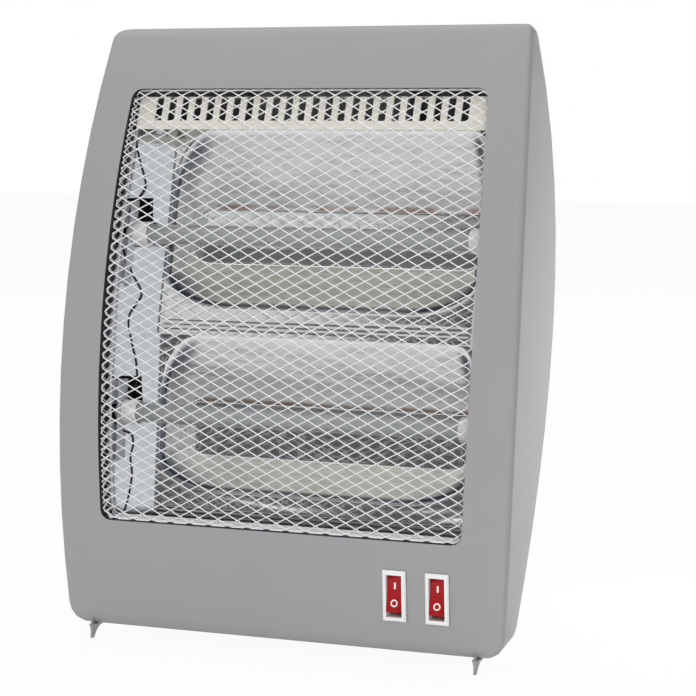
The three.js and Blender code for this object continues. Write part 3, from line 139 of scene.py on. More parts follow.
def slab_between(front, back):
    """Two grids of the same shape, joined round the rim into one closed body."""
    rows, columns = front.shape[:2]
    count = rows * columns
    index = np.arange(count).reshape(rows, columns)
    rim = np.concatenate([index[0, :-1], index[:-1, -1], index[-1, :0:-1], index[:0:-1, 0]])
    after = np.roll(rim, -1)
    edge = np.stack([rim, rim + count, after + count, after], -1)
    face = grid_quads(rows, columns)
    vertices = np.vstack([front.reshape(-1, 3), back.reshape(-1, 3)])
    return vertices, np.vstack([face, face[:, ::-1] + count, edge])


def revolved(profile, middle, axis=(1, 0, 0), sides=48):
    """Turned body: each profile point (along, radius) swept round an axis through the middle."""
    profile = np.asarray(profile, float)
    along = Vector(axis).normalized()
    up = along.orthogonal().normalized()
    across = along.cross(up)
    angle = np.linspace(0, 2 * math.pi, sides, endpoint=False)
    ring = np.cos(angle)[:, None] * np.array(up) + np.sin(angle)[:, None] * np.array(across)
    points = profile[:, None, 1, None] * ring[None] + profile[:, None, 0, None] * np.array(along)
    return sheet_of(points + np.array(middle, float), wrap_columns=True)


def tube_along(path, radius, sides):
    """Round tube with closed ends: circles square to the path, each set level across it.

    Level is square to up, or on a steep path square to the right.
    """
    ahead = np.gradient(path, axis=0)
    ahead /= np.linalg.norm(ahead, axis=1, keepdims=True)
    steep = abs(ahead[:, 2]).mean() >= STEEP
    across = np.cross(ahead, (1.0, 0.0, 0.0) if steep else (0.0, 0.0, 1.0))
    across /= np.linalg.norm(across, axis=1, keepdims=True)
    up = np.cross(across, ahead)
    angle = np.linspace(0, 2 * math.pi, sides, endpoint=False)
    ring = np.cos(angle)[None, :, None] * across[:, None] + np.sin(angle)[None, :, None] * up[:, None]
    points = path[:, None] + ring * radius
    start, end = (np.repeat(place[None, None], sides, axis=1) for place in (path[0], path[-1]))
    return sheet_of(np.concatenate([start, points, end]), wrap_columns=True)


def smooth_path(places, count):
    """Catmull-Rom curve: a cubic between every two places, its tangents from their neighbours."""
    padded = np.vstack([2 * places[0] - places[1], places, 2 * places[-1] - places[-2]])
    t = np.linspace(0, len(places) - 1, count)
    span = np.minimum(t.astype(int), len(places) - 2)
    u = (t - span)[:, None]
    a, b, c, d = (padded[span + step] for step in range(4))
    square, cube = 2 * a - 5 * b + 4 * c - d, 3 * b - a - 3 * c + d
    return 0.5 * (2 * b + (c - a) * u + square * u ** 2 + cube * u ** 3)


def finish_mesh(mesh, angle, closed=True):
    """Merges doubles, drops empty faces, turns a closed mesh outwards, shades smooth up to an angle."""
    bm = bmesh.new()
    bm.from_mesh(mesh)
    bmesh.ops.remove_doubles(bm, verts=bm.verts, dist=SAME_PLACE)
    bmesh.ops.dissolve_degenerate(bm, edges=bm.edges, dist=NO_LENGTH)
    if closed:
        bmesh.ops.recalc_face_normals(bm, faces=bm.faces)
    bm.to_mesh(mesh)
    bm.free()
    mesh.polygons.foreach_set("use_smooth", [True] * len(mesh.polygons))
    mesh.set_sharp_from_angle(angle=math.radians(angle))


def new_object(name, data):
    """A new object of some data, in the scene."""
    made = bpy.data.objects.new(name, data)
    bpy.context.scene.collection.objects.link(made)
    return made


def place_piece(name, mesh, body, material, stands_for):
    """Makes a piece of a mesh that rides on a body, stands for CAD nodes and has one material."""
    piece = new_object(name, mesh)
    mesh.materials.append(material)
    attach(piece, body)
    if stands_for:
        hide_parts(*stands_for)
    return piece


def new_piece(
    name, shape, material, stands_for=(), body="heater", angle=35, thickness=0, marks=None
):
    """A piece from vertices and quads.

    A thickness makes a sheet of it, grown behind its faces. Marks are named numbers, one per vertex.
    """
    vertices, quads = shape
    mesh = bpy.data.meshes.new(name)
    mesh.from_pydata(vertices.tolist(), [], quads.tolist())
    for mark, numbers in (marks or {}).items():
        mesh.attributes.new(mark, "FLOAT", "POINT").data.foreach_set("value", numbers.ravel())
    finish_mesh(mesh, angle, closed=not thickness)
    piece = place_piece(name, mesh, body, material, stands_for)
    if thickness:
        solidify = piece.modifiers.new("sheet", "SOLIDIFY")
        solidify.thickness = thickness
        solidify.offset = -1
        solidify.use_even_offset = False


def smooth_copy(node, name, material, angle):
    """Mesh of a new piece that stands for a CAD node: the node's own, merged and smoothly shaded."""
    source = frame["nodes"][node]
    mesh = source.data.copy()
    mesh.name = name
    mesh.materials.clear()
    finish_mesh(mesh, angle)
    place_piece(name, mesh, source["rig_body"], material, [node])
    return mesh


def dress(material, *nodes):
    """Gives CAD nodes' own meshes a material."""
    for node in nodes:
        slots = frame["nodes"][node].data.materials
        slots.clear()
        slots.append(material)


# ---- Shader nodes and sums of their values

# Sockets of a Mix node for colours, by number, since its other kinds share their names
MIX_SHARE, MIX_FIRST, MIX_SECOND, MIX_RESULT = 0, 6, 7, 2


class Value:
    """A socket of a node tree that Python's arithmetic extends by Math nodes."""

    def __init__(self, nodes, socket):
        self.nodes = nodes
        self.socket = socket

    def math(self, operation, other):
        return self.nodes.node("ShaderNodeMath", {"operation": operation}, {0: self, 1: other})

    def __add__(self, other):
        return self.math("ADD", other)

    __radd__ = __add__

    def __mul__(self, other):
        return self.math("MULTIPLY", other)

    __rmul__ = __mul__

    def __sub__(self, other):
        return self.math("SUBTRACT", other)

    def __rsub__(self, other):
        return (self * -1.0) + other

    def clamped(self):
        """The value kept between 0 and 1."""
        return self.math("MAXIMUM", 0.0).math("MINIMUM", 1.0)

    def ramp(self, start, end, rest=0.0, full=1.0):
        """Rest before a start, full past an end, smooth between. The end may be the lower of the two."""
        return self.nodes.node(
            "ShaderNodeMapRange",
            {"interpolation_type": "SMOOTHSTEP"},
            {"Value": self, "From Min": start, "From Max": end, "To Min": rest, "To Max": full},
        )


class Nodes:
    """A node tree that is written as expressions."""

    def __init__(self, tree):
        self.tree = tree

    def feed(self, socket, value):
        """Links a value to a socket, or sets the socket to a number, vector or colour of three parts."""
        if isinstance(value, Value):
            self.tree.links.new(value.socket, socket)
        else:
            socket.default_value = (*value, 1) if socket.type == "RGBA" else value

    def node(self, kind, settings=None, inputs=None, output=0):
        """One output of a new node, whose settings are set before the values or links of its sockets."""
        made = self.tree.nodes.new(kind)
        for name, value in (settings or {}).items():
            setattr(made, name, value)
        for key, value in (inputs or {}).items():
            self.feed(made.inputs[key], value)
        return Value(self, made.outputs[output])

    def show(self, kind, surface):
        """Ends the tree in an output node of a kind."""
        self.feed(self.tree.nodes.new(kind).inputs["Surface"], surface)

    def mix(self, share, first, second):
        """Colour between two colours by a share."""
        inputs = {MIX_SHARE: share, MIX_FIRST: first, MIX_SECOND: second}
        return self.node("ShaderNodeMix", {"data_type": "RGBA"}, inputs, MIX_RESULT)

    def blend(self, share, first, second):
        """Surface between two surfaces by a share."""
        return self.node("ShaderNodeMixShader", None, {0: share, 1: first, 2: second})

    def ray(self, kind):
        """1 for rays of a kind, 0 for all others."""
        return self.node("ShaderNodeLightPath", output=f"Is {kind} Ray")


class Finish(Nodes):
    """A material with one Principled surface, built from expressions."""

    def __init__(self, name):
        self.material = bpy.data.materials.new(name)
        self.material.use_nodes = True
        super().__init__(self.material.node_tree)
        self.surface = self.tree.nodes["Principled BSDF"]

    def mark(self, name):
        """A number that the mesh carries at its vertices."""
        return self.node("ShaderNodeAttribute", {"attribute_name": name}, output="Fac")

    def noise(self, size, detail=3.0, rough=0.5, stretch=(1, 1, 1)):
        """Soft noise from 0 to 1 in patches of a size, longer along an axis with a stretch below 1."""
        where = self.node("ShaderNodeTexCoord", output="Object")
        scaled = self.node("ShaderNodeMapping", None, {"Vector": where, "Scale": stretch})
        inputs = {"Vector": scaled, "Scale": 1 / size, "Detail": detail, "Roughness": rough}
        return self.node("ShaderNodeTexNoise", None, inputs)

    def bump(self, height, distance, strength):
        """Normals of a relief whose height of 1 stands for a distance in metres."""
        inputs = {"Height": height, "Distance": distance, "Strength": strength}
        return self.node("ShaderNodeBump", None, inputs)

    def set(self, **values):
        """The material, with sockets of its surface set by name, spaces as underscores.

        What varies over the surface comes as a link, and what doesn't as a plain value.
        """
        for name, value in values.items():
            self.feed(self.surface.inputs[name.replace("_", " ")], value)
        return self.material


# ---- Finishes


def srgb(red, green, blue):
    """Linear colour of an 8-bit screen colour."""
    return tuple(
        value / 12.92 if value <= 0.04045 else ((value + 0.055) / 1.055) ** 2.4
        for value in (red / 255, green / 255, blue / 255)
    )


def shaded(colour, share):
    """A colour times a share, no brighter than white."""
    return tuple(min(1, value * share) for value in colour)


def moulded_plastic(name, colour, rough=0.42, spread=0.03, clear=False):
    """Moulded plastic: fine spark-eroded grain, faint cloudiness and slightly uneven gloss.

    Clear plastic lets some light through below its surface.
    """
    f = Finish(name)
    cloud = f.noise(50 * MM, 2.0)
    grain = f.noise(0.35 * MM, 2.0, 0.6)
    return f.set(
        Base_Color=f.mix(cloud, shaded(colour, 1 - spread), shaded(colour, 1 + spread)),
        Roughness=(cloud - 0.5) * 0.08 + (grain - 0.5) * 0.12 + rough,
        Normal=f.bump(grain, 0.03 * MM, 0.35),
        Specular_IOR_Level=0.3 if clear else 0.45,
        Subsurface_Weight=0.4 if clear else 0.0,
        Subsurface_Radius=(1.0, 0.25, 0.2),
        Subsurface_Scale=4 * MM,
    )


def powder_coat(name, colour, rough=0.35):
    """Powder-coated metal: slightly orange-peeled and unevenly glossy."""
    f = Finish(name)
    peel = f.noise(1.2 * MM, 2.0)
    return f.set(
        Base_Color=f.mix(f.noise(30 * MM), shaded(colour, 0.96), colour),
        Roughness=peel * 0.15 + (rough - 0.07),
        Normal=f.bump(peel, 0.05 * MM, 0.3),
    )


def rolled_metal(name, colour, rough=0.3, direction=(1, 12, 12)):
    """Rolled sheet: streaks along one direction in colour, roughness and height."""
    f = Finish(name)
    streak = f.noise(4 * MM, 4.0, 0.6, direction)
    return f.set(
        Base_Color=f.mix(streak, shaded(colour, 0.85), colour),
        Metallic=1.0,
        Roughness=streak * 0.15 + (rough - 0.075),
        Normal=f.bump(streak, 0.04 * MM, 0.2),
    )


# Grey of the satin ripples, painted shade at folds and corners, heat tint with a painted copper glint,
# cloud grey
SATIN, FOLD_SHADE, HEAT_TINT_AND_GLINT, CLOUD_GREY = (
    srgb(160, 162, 162), srgb(70, 76, 88), srgb(152, 104, 70), srgb(150, 152, 150),
)


def reflector_metal(name, colour):
    """Bright-rolled reflector sheet.

    Flat parts are polished. A trough's walls are rippled and satin, with painted reflection tints, cooler
    above, warmer below. Sharp folds and corners get painted shade, the fold over the tube is heat-tinted
    with a painted copper glint, and a wall's surface leans up by its mark of lift. The ramps' limits are
    shares of the trough's depth, or of its mouth's half-height.
    """
    f = Finish(name)
    depth, corner, rise = f.mark("trough_depth"), f.mark("trough_corner"), f.mark("trough_rise")
    wall = depth.ramp(0.0, 0.08) * (1 - depth.ramp(0.93, 1.0))
    # Painted shade: the mouth's lower fold and the trough's corners go towards a dark grey
    fold = depth.ramp(0.0, 0.004) * (1 - depth.ramp(0.07, 0.15)) * (1 - rise.ramp(0.3, 0.8))
    # Heat tint on the fold over the tube, which also stands in for a copper glint: partly a painted
    # reflection
    burnt_and_glint = depth.ramp(0.9, 0.96) * (1 - depth.ramp(0.975, 1.0)) * rise.ramp(-0.1, 0.1)
    wave = f.noise(20 * MM, 1.0, 0.5, (0.3, 1, 1))
    ripple = f.noise(3 * MM, 2.0, 0.5, (0.14, 1, 1))
    cloud = f.noise(30 * MM)
    # Painted reflection tints: the walls cooler and slightly darker, the lower parts warmer
    cool = shaded(colour, 0.97)
    warm = tuple(np.array(colour) * (1, 0.985, 0.92))
    reflection_tint = f.mix(wall, cool, f.mix(rise.ramp(-0.5, 0.4), warm, colour))
    rippled = f.mix(ripple.ramp(0.45, 0.75) * wall * 0.3, reflection_tint, SATIN)
    folded = f.mix((fold * 0.85 + corner * 0.85).clamped(), rippled, FOLD_SHADE)
    tinted = f.mix(burnt_and_glint * f.noise(20 * MM).ramp(0.3, 0.6) * 0.8, folded, HEAT_TINT_AND_GLINT)
    relief = f.bump(wave * 0.35 + ripple * wall * 1.4, 0.6 * MM, 0.4)
    lifted = f.node("ShaderNodeCombineXYZ", None, {"Z": f.mark("lift")})
    leaning = f.node("ShaderNodeVectorMath", {"operation": "ADD"}, {0: relief, 1: lifted})
    return f.set(
        Base_Color=f.mix(cloud * 0.14, tinted, CLOUD_GREY),
        Metallic=0.94,
        Roughness=wall * 0.4 + f.mark("wing") * 0.1 + cloud * 0.04 + 0.04,
        Normal=f.node("ShaderNodeVectorMath", {"operation": "NORMALIZE"}, {0: leaning}),
    )


def frosted_glass(name, colour):
    """Frosted quartz: milky, faintly streaked along its length, with a soft sheen."""
    f = Finish(name)
    streak = f.noise(10 * MM, 3.0, 0.5, (0.15, 1, 1))
    return f.set(
        Base_Color=f.mix(streak, shaded(colour, 0.8), colour),
        Roughness=streak * 0.12 + 0.24,
        Coat_Weight=0.3,
        Normal=f.bump(f.noise(0.8 * MM, 2.0), 0.04 * MM, 0.3),
    )


def fired_ceramic(name, colour):
    """Unglazed ceramic: fine pores and faint staining."""
    f = Finish(name)
    pore = f.noise(0.6 * MM, 3.0, 0.7)
    stain = f.noise(8 * MM)
    return f.set(
        Base_Color=f.mix(stain.ramp(0.35, 0.75), colour, shaded(colour, 0.8)),
        Roughness=pore * 0.2 + 0.55,
        Normal=f.bump(pore, 0.08 * MM, 0.4),
    )


def rubber_sleeve(name, colour):
    """Silicone or glass-fibre sleeve of a lead: matt with a fine weave."""
    f = Finish(name)
    weave = f.noise(0.6 * MM, 2.0)
    return f.set(
        Base_Color=f.mix(weave, shaded(colour, 0.7), colour),
        Roughness=weave * 0.2 + 0.4,
        Normal=f.bump(weave, 0.06 * MM, 0.4),
    )


# ---- Sizes and colours a user would change


def length(name, description, default):
    return bpy.props.FloatProperty(
        name=name, description=description, default=default, min=0,
        subtype="DISTANCE", unit="LENGTH", precision=5,
    )


def colour(name, description, default):
    return bpy.props.FloatVectorProperty(
        name=name, description=description, default=default, size=3, min=0, max=1, subtype="COLOR"
    )


def angle(name, description, default):
    return bpy.props.FloatProperty(
        name=name, description=description, default=default, subtype="ANGLE", unit="ROTATION"
    )


class HeaterColours(bpy.types.PropertyGroup):
    """Colours of the visible finishes"""

    shield: colour("Shield", "Moulded shield and feet", srgb(158, 158, 160))
    guard: colour("Guard", "Expanded-metal guard", srgb(249, 249, 251))
    strip: colour("Vent strip", "Slotted strip over the window", srgb(236, 233, 221))
    reflector: colour("Reflector", "Polished reflector sheets", srgb(245, 246, 246))
    quartz: colour("Quartz", "Frosted quartz tubes", srgb(169, 172, 173))
    ceramic: colour("Ceramic", "Caps and terminal block", srgb(248, 247, 243))
    bezel: colour("Bezel", "Switch bezels", srgb(240, 240, 240))
    rocker: colour("Rocker", "Switch rockers", srgb(168, 16, 24))


class GuardSizes(bpy.types.PropertyGroup):
    """Sizes of the expanded-metal guard"""

    pitch_across: length("Pitch across", "Width of one diamond", 12.5 * MM)
    pitch_up: length("Pitch up", "Height of one diamond", 6.5 * MM)
    strand: length("Strand", "Width of a strand", 0.64 * MM)
    tilt: length("Tilt", "Depth between a hole's lower and upper rims", 0.7 * MM)
    sheet: length("Sheet", "Thickness of the sheet", 0.6 * MM)
    set_back: length("Set back", "How far the guard lies behind the face", 0.9 * MM)
    bend: length("Bend", "Radius of the tray's bend", 1.6 * MM)
    wall: length("Wall", "Depth of the tray's walls", 14.5 * MM)


class StageSizes(bpy.types.PropertyGroup):
    """Where the camera stands"""

    camera_distance: length("Camera distance", "From the camera to the aimed point", 1270.4 * MM)
    camera_turn: angle("Camera turn", "How far to the right the camera stands", math.radians(21.16))
    camera_rise: angle("Camera rise", "How far the camera looks down", math.radians(6.293))
    lens: bpy.props.FloatProperty(
        name="Lens", description="Focal length in millimetres", default=113.79, unit="CAMERA"
    )


# ---- Guard

# Gap between the guard and the window's rim, the radius of its corners, and a length as good as none
GUARD_FIT, GUARD_CORNER, NEARLY_NONE = 0.35 * MM, 6 * MM, 1e-9
SMALLEST_QUAD = 1e-9  # area in square metres
# Edge strip: points round it, how far outside the window they start, its width, its thickness in sheets
EDGE_POINTS, EDGE_REACH, EDGE_WIDTH, EDGE_SHEETS = 260, 32 * MM, 1.3 * MM, 1.3


def tray_point(u, v, inward, sizes):
    """Places on the guard's tray for lattice places across and up, and a distance into the tray.

    The signed distance to the window's rounded outline is found first. A place past the bend's start goes
    round a quarter circle of the bend's radius, and past that straight back along the wall:
    out = r sin t, depth = r (1 - cos t) + rest.
    """
    bend, corner = sizes.bend, GUARD_CORNER
    half_width = window_half(np.clip(v, WINDOW_BASE, WINDOW_TOP)) - GUARD_FIT
    half_height = WINDOW_HALF_HEIGHT - GUARD_FIT
    past_x, past_z = np.abs(u) - half_width + corner, np.abs(v - WINDOW_MIDDLE) - half_height + corner
    round_part = np.hypot(np.maximum(past_x, 0), np.maximum(past_z, 0))
    past = round_part + np.minimum(np.maximum(past_x, past_z), 0) - corner + bend
    in_corner = (past_x > 0) & (past_z > 0)
    far = np.maximum(round_part, NEARLY_NONE)
    away_x = np.where(in_corner, past_x / far, past_x >= past_z) * np.sign(u)
    away_z = np.where(in_corner, past_z / far, past_x < past_z) * np.sign(v - WINDOW_MIDDLE)
    turned = np.clip(past / bend, 0, math.pi / 2)
    straight = np.clip(past - bend * math.pi / 2, 0, sizes.wall - bend)
    out = bend * np.sin(turned) - inward * np.sin(turned) - np.maximum(past, 0)
    x, z = u + away_x * out, v + away_z * out
    y = face_y(z) + sizes.set_back + bend * (1 - np.cos(turned)) + straight + inward * np.cos(turned)
    return np.stack([x, y, z], -1)


def guard_mesh(sizes):
    """Expanded metal: each diamond hole is a ring of quads from its strands' middle lines in to its rim.

    Four rings of eight points go round a hole: middle lines and rim in front, then rim and middle lines
    behind. A hole's upper rim lies behind the sheet and its lower rim before it, so every strand leans. The
    lattice goes on round the tray's bend and back along its walls.
    """
    a, b = sizes.pitch_across / 2, sizes.pitch_up / 2
    slope, half = math.hypot(a, b), sizes.strand / 2
    hole_a, hole_b = a - half * slope / b, b - half * slope / a
    spread = sizes.wall + 2 * sizes.bend
    low, high = WINDOW_BASE - spread, WINDOW_TOP + spread
    reach = int((WINDOW_HALF + spread) / a) + 1
    rows = int((high - low) / b) + 2
    column, row = np.meshgrid(np.arange(-reach, reach + 1), np.arange(rows), indexing="ij")
    kept = (column + row) % 2 == 0
    middle_x, middle_z = column[kept] * a, low + row[kept] * b
    around = np.array([(2, 0), (1, 1), (0, 2), (-1, 1), (-2, 0), (-1, -1), (0, -2), (1, -1)]) / 2
    rings = []
    for reach_x, reach_z, inward, lean in (
        (a, b, 0, 0),
        (hole_a, hole_b, 0, sizes.tilt),
        (hole_a, hole_b, sizes.sheet, sizes.tilt),
        (a, b, sizes.sheet, 0),
    ):
        u = middle_x[:, None] + around[None, :, 0] * reach_x
        v = middle_z[:, None] + around[None, :, 1] * reach_z
        rings.append(tray_point(u, v, inward + lean * (around[None, :, 1] + 1) / 2, sizes))
    rings = np.stack(rings, 1)
    holes, levels, corners = rings.shape[:3]
    start = np.arange(holes)[:, None, None] * (levels * corners)
    quads = (start + grid_quads(levels, corners, wrap_columns=True)).reshape(-1, 4)
    points = rings.reshape(-1, 3)
    first, second, third, last = (points[quads[:, place]] for place in range(4))
    twice_area = np.linalg.norm(np.cross(third - first, last - second), axis=1)
    return points, quads[twice_area > 2 * SMALLEST_QUAD]


def tray_edge(sizes):
    """Plain edge strip of the tray: a rectangular section carried round the ends of its walls."""
    share = np.linspace(0, 2 * math.pi, EDGE_POINTS, endpoint=False)
    across, up = np.cos(share), np.sin(share)
    box = np.maximum(np.abs(across), np.abs(up))
    u = across / box * (WINDOW_HALF + EDGE_REACH)
    v = WINDOW_MIDDLE + up / box * (WINDOW_HALF_HEIGHT + EDGE_REACH)
    end = tray_point(u, v, 0, sizes)
    inner = tray_point(u, v, sizes.sheet * EDGE_SHEETS, sizes)
    forward = np.array([0, EDGE_WIDTH, 0])
    section = np.stack([end - forward, end, inner, inner - forward])
    return sheet_of(section, wrap_rows=True, wrap_columns=True)


class HEATER_OT_guard(bpy.types.Operator):
    """Expanded-metal guard: leaning strands round diamond holes, and the tray's bent rim"""

    bl_idname = "heater.guard"
    bl_label = "Guard"

    def execute(self, context):
        sizes = context.scene.heater_guard
        paint = powder_coat("guard_paint", context.scene.heater_colours.guard)
        new_piece(
            "expanded_guard", together(guard_mesh(sizes), tray_edge(sizes)), paint,
            ["mesh_guard"], angle=50,
        )
        return {"FINISHED"}


# ---- Reflectors

# A trough: depth, middle across, half its length, half its floor's height, how far the floor lies below the
# mouth's middle, and how much shorter it is at each end
TROUGH = {
    "depth": 26 * MM, "middle": 5.5 * MM, "length": 99.5 * MM,
    "floor": 17 * MM, "drop": 13 * MM, "draft": 5 * MM,
}
# Radii across and up of a trough's corners, and the share that the right upper one keeps
TOP_CORNER, BOTTOM_CORNER, RIGHT_CORNER = (24 * MM, 36 * MM), (44 * MM, 20 * MM), 0.4
HALVINGS = 16  # steps that find a place's share of the depth
FOLD_RADIUS = 0.6 * MM
# End wings: where they start and end, how far they rise, and the cut's radius round the tube
WING = {"left": -97 * MM, "right": 107 * MM, "end": 126.7 * MM, "rise": 14 * MM, "notch": 8.3 * MM}
# The cut above the left cap: its right edge, and its height over the tube's axis
WING_CUT = {"start": -106 * MM, "height": 21.5 * MM}
# Columns of points: from and to in millimetres across, and how many
COLUMNS = ((-126.7, -96.5, 24), (-95.3, -81, 15), (-79.4, 89.4, 108), (91, 105.3, 15), (106.5, 126.7, 18))
ROWS_BELOW, ROWS_ABOVE = 92, 96  # points in a column below and above the tube
# Heights of the ripples, and the share of them on flat parts
FINE_RIPPLE, BROAD_RIPPLE, FLAT_RIPPLE = 0.05 * MM, 0.16 * MM, 0.15
# Beads embossed along the lower edge: how high above it, how wide and how deep
BEADS, BEAD_WIDTH, BEAD_DEPTH = (4.2 * MM, 6.8 * MM, 9.4 * MM), 0.5 * MM, 0.3 * MM


def trough_share(x, up, half):
    """Share of a folded trough's depth at a place: the largest whose rounded ring still holds that place.

    A ring's half-height and half-length shrink evenly with the share, its corners with them, and it drops
    towards the trough's floor. The share is found by halving.
    """
    across = np.abs(x - TROUGH["middle"])
    top = np.where(x < 0, 1.0, RIGHT_CORNER)
    start, end = np.zeros_like(x), np.ones_like(x)
    for _ in range(HALVINGS):
        share = (start + end) / 2
        height = TROUGH["floor"] + (half - TROUGH["floor"]) * (1 - share)
        reach = TROUGH["length"] - TROUGH["draft"] * share
        sunk = up + TROUGH["drop"] * share
        corner_x = np.where(sunk < 0, BOTTOM_CORNER[0], TOP_CORNER[0] * top) * height / half
        corner_z = np.where(sunk < 0, BOTTOM_CORNER[1], TOP_CORNER[1] * top) * height / half
        beyond_x = np.maximum(across - reach + corner_x, 0) / corner_x
        beyond_z = np.maximum(np.abs(sunk) - height + corner_z, 0) / corner_z
        within = beyond_x ** 2 + beyond_z ** 2 <= 1
        start, end = np.where(within, share, start), np.where(within, end, share)
    return start


def soft_trough(x, up, half):
    """The trough's share with soft folds: the mean of the share at nine places a fold's radius apart."""
    steps = (-FOLD_RADIUS, 0, FOLD_RADIUS)
    near = [trough_share(x + across, up + rise, half) for across in steps for rise in steps]
    return sum(near) / len(near)


def low_ripples(x, z):
    """Height of the rolled sheet's ripples: sines up the sheet and along it, each bent by slower sines."""
    bent = 2.6 * np.sin(x / (41 * MM)) + 1.3 * np.sin(x / (13 * MM) + z / (9 * MM))
    swayed = 1.7 * np.sin(z / (13 * MM)) + z / (5 * MM)
    return FINE_RIPPLE * np.sin(z / (0.9 * MM) + bent) + BROAD_RIPPLE * np.sin(x / (19 * MM) + swayed)


def reflector_marks(x, z, share, height, wing, lift):
    """Numbers for a reflector's finish at each point.

    They are the trough's share, how diagonally its wall falls there, which places the painted shade in its
    corners, the height in its mouth, 1 on an end wing, and how far the upper wall is rolled up, which fades
    out at the wall's edges.
    """
    fall_x = np.gradient(share, axis=0) / np.gradient(x, axis=0)
    fall_z = np.gradient(share, axis=1) / np.gradient(z, axis=1)
    # How diagonally the wall falls, fading at mouth and floor: where the finish paints shade in the corners
    corner = 2 * np.abs(fall_x * fall_z) / (fall_x ** 2 + fall_z ** 2 + 1)
    corner = corner * np.clip(share / 0.08, 0, 1) * np.clip(1.5 - share / 0.4, 0, 1)
    rolled = np.clip(share / 0.1, 0, 1) * np.clip((1 - share) / 0.08, 0, 1) * np.clip(height * 4, 0, 1)
    return {
        "trough_depth": share,
        "trough_corner": corner,
        "trough_rise": height,
        "wing": np.broadcast_to((wing > 0)[:, None] * 1.0, z.shape),
        "lift": lift * rolled,
    }


def reflector_shape(sheet):
    """A leaning sheet with a folded trough, low ripples, beads, and end wings cut out round the tube.

    Each column of points stops at the cut-out's rims below and above the tube, at tube ± sqrt(r² - d²)
    where d is the sheet's distance behind the tube's axis, and higher above the left cap.
    """
    (base, base_y), (top, top_y) = sheet["plane"]
    tube_y, tube_z = sheet["tube"]

    def plane(z):
        return base_y + (top_y - base_y) * (z - base) / (top - base)

    x = MM * np.concatenate([np.linspace(*columns) for columns in COLUMNS])
    left = (x - WING["left"]) / (-WING["end"] - WING["left"])
    right = (x - WING["right"]) / (WING["end"] - WING["right"])
    wing = np.clip(np.maximum(left, right), 0, 1)
    rise = WING["rise"] * wing
    behind = plane(tube_z) - rise - tube_y
    notch = np.sqrt(np.clip(WING["notch"] ** 2 - behind ** 2, 0, None)) * (wing > 0)
    cut = np.maximum(notch, WING_CUT["height"] * (x < WING_CUT["start"]))
    low_rim, high_rim = tube_z - notch[:, None], tube_z + cut[:, None]
    below, above = np.linspace(0, 1, ROWS_BELOW)[None], np.linspace(0, 1, ROWS_ABOVE)[None]
    z = np.concatenate([base + (low_rim - base) * below, high_rim + (top - high_rim) * above], axis=1)
    x = np.broadcast_to(x[:, None], z.shape)

    low, high = sheet["mouth"]
    middle, half = (low + high) / 2, (high - low) / 2
    share = soft_trough(x, z - middle, half)
    slanting = np.clip(share * (1 - share) * 8, 0, 1)
    ripple = low_ripples(x, z) * (FLAT_RIPPLE + slanting)
    bead = sum(np.exp(-(((z - base - place) / BEAD_WIDTH) ** 2)) for place in BEADS) * BEAD_DEPTH
    bead = bead * (np.abs(x - TROUGH["middle"]) < TROUGH["length"])
    y = plane(z) + share * TROUGH["depth"] + ripple - rise[:, None] - bead
    vertices, quads = sheet_of(np.stack([x, y, z], -1))
    at_gap = quads[:, 0] % (ROWS_BELOW + ROWS_ABOVE) == ROWS_BELOW - 1
    marks = reflector_marks(x, z, share, (z - middle) / half, wing, sheet["lift"])
    return (vertices, quads[~at_gap]), marks


def sheet_frame(name, base, top, mouth, lift):
    """A reflector's flat plane, trough mouth and tube axis.

    Base and top are heights above the body's base and depths behind its front, and the mouth's two numbers
    are heights, all in millimetres. The lift is how far the trough's upper wall is rolled up.
    """
    low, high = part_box("quartz_tube_" + name)
    return {
        "plane": [(BODY_BASE + z * MM, FACE_FRONT + y * MM) for z, y in (base, top)],
        "mouth": [BODY_BASE + z * MM for z in mouth],
        "tube": ((low.y + high.y) / 2, (low.z + high.z) / 2),
        "lift": lift,
    }


REFLECTORS = {
    "upper": sheet_frame("upper", base=(175.3, 44), top=(303.5, 76.43), mouth=(192, 300.2), lift=0.02),
    "lower": sheet_frame("lower", base=(60, 37), top=(181, 49.5), mouth=(80, 174), lift=0.24),
}


class HEATER_OT_reflectors(bpy.types.Operator):
    """Two pressed reflector sheets with rippled troughs"""

    bl_idname = "heater.reflectors"
    bl_label = "Reflectors"

    def execute(self, context):
        metal = reflector_metal("reflector_metal", context.scene.heater_colours.reflector)
        for name, sheet in REFLECTORS.items():
            shape, marks = reflector_shape(sheet)
            new_piece(
                "rippled_reflector_" + name, shape, metal, ["reflector_" + name],
                angle=60, thickness=0.9 * MM, marks=marks,
            )
        return {"FINISHED"}


# ---- Heating elements

TUBE_BORE, TUBE_LIP = 5 * MM, 0.5 * MM  # radius of a tube's bore, and rounding of its ends
# Radii of a cap's socket, neck and pin hole, then the socket's depth and the neck's length
CAP_SOCKET, CAP_NECK, CAP_HOLE, SOCKET_DEPTH, NECK_LENGTH = 6.4 * MM, 4.45 * MM, 1.6 * MM, 3.4 * MM, 5 * MM


def tube_profile(end, outer):
    """Section of a quartz tube, places along and radii, its ends' outer edges rounded."""
    soft = TUBE_LIP * 0.3
    return [
        (-end, TUBE_BORE), (-end, outer - TUBE_LIP), (-end + soft, outer - soft), (-end + TUBE_LIP, outer),
        (end - TUBE_LIP, outer), (end - soft, outer - soft), (end, outer - TUBE_LIP), (end, TUBE_BORE),
        (-end, TUBE_BORE),
    ]


def cap_profile(start, stop, wide):
    """Section of a cap from its tube end to its neck's end, places along and radii, edges chamfered."""
    step, seat = stop - NECK_LENGTH, start + SOCKET_DEPTH
    return [
        (start, CAP_SOCKET), (start, wide - 0.5 * MM), (start + 0.5 * MM, wide), (step - 0.6 * MM, wide),
        (step, wide - 0.6 * MM), (step, CAP_NECK + 0.15 * MM), (step + 0.2 * MM, CAP_NECK),
        (stop - 0.4 * MM, CAP_NECK), (stop, CAP_NECK - 0.35 * MM), (stop, CAP_HOLE), (seat, CAP_HOLE),
        (seat, CAP_SOCKET), (start, CAP_SOCKET),
    ]


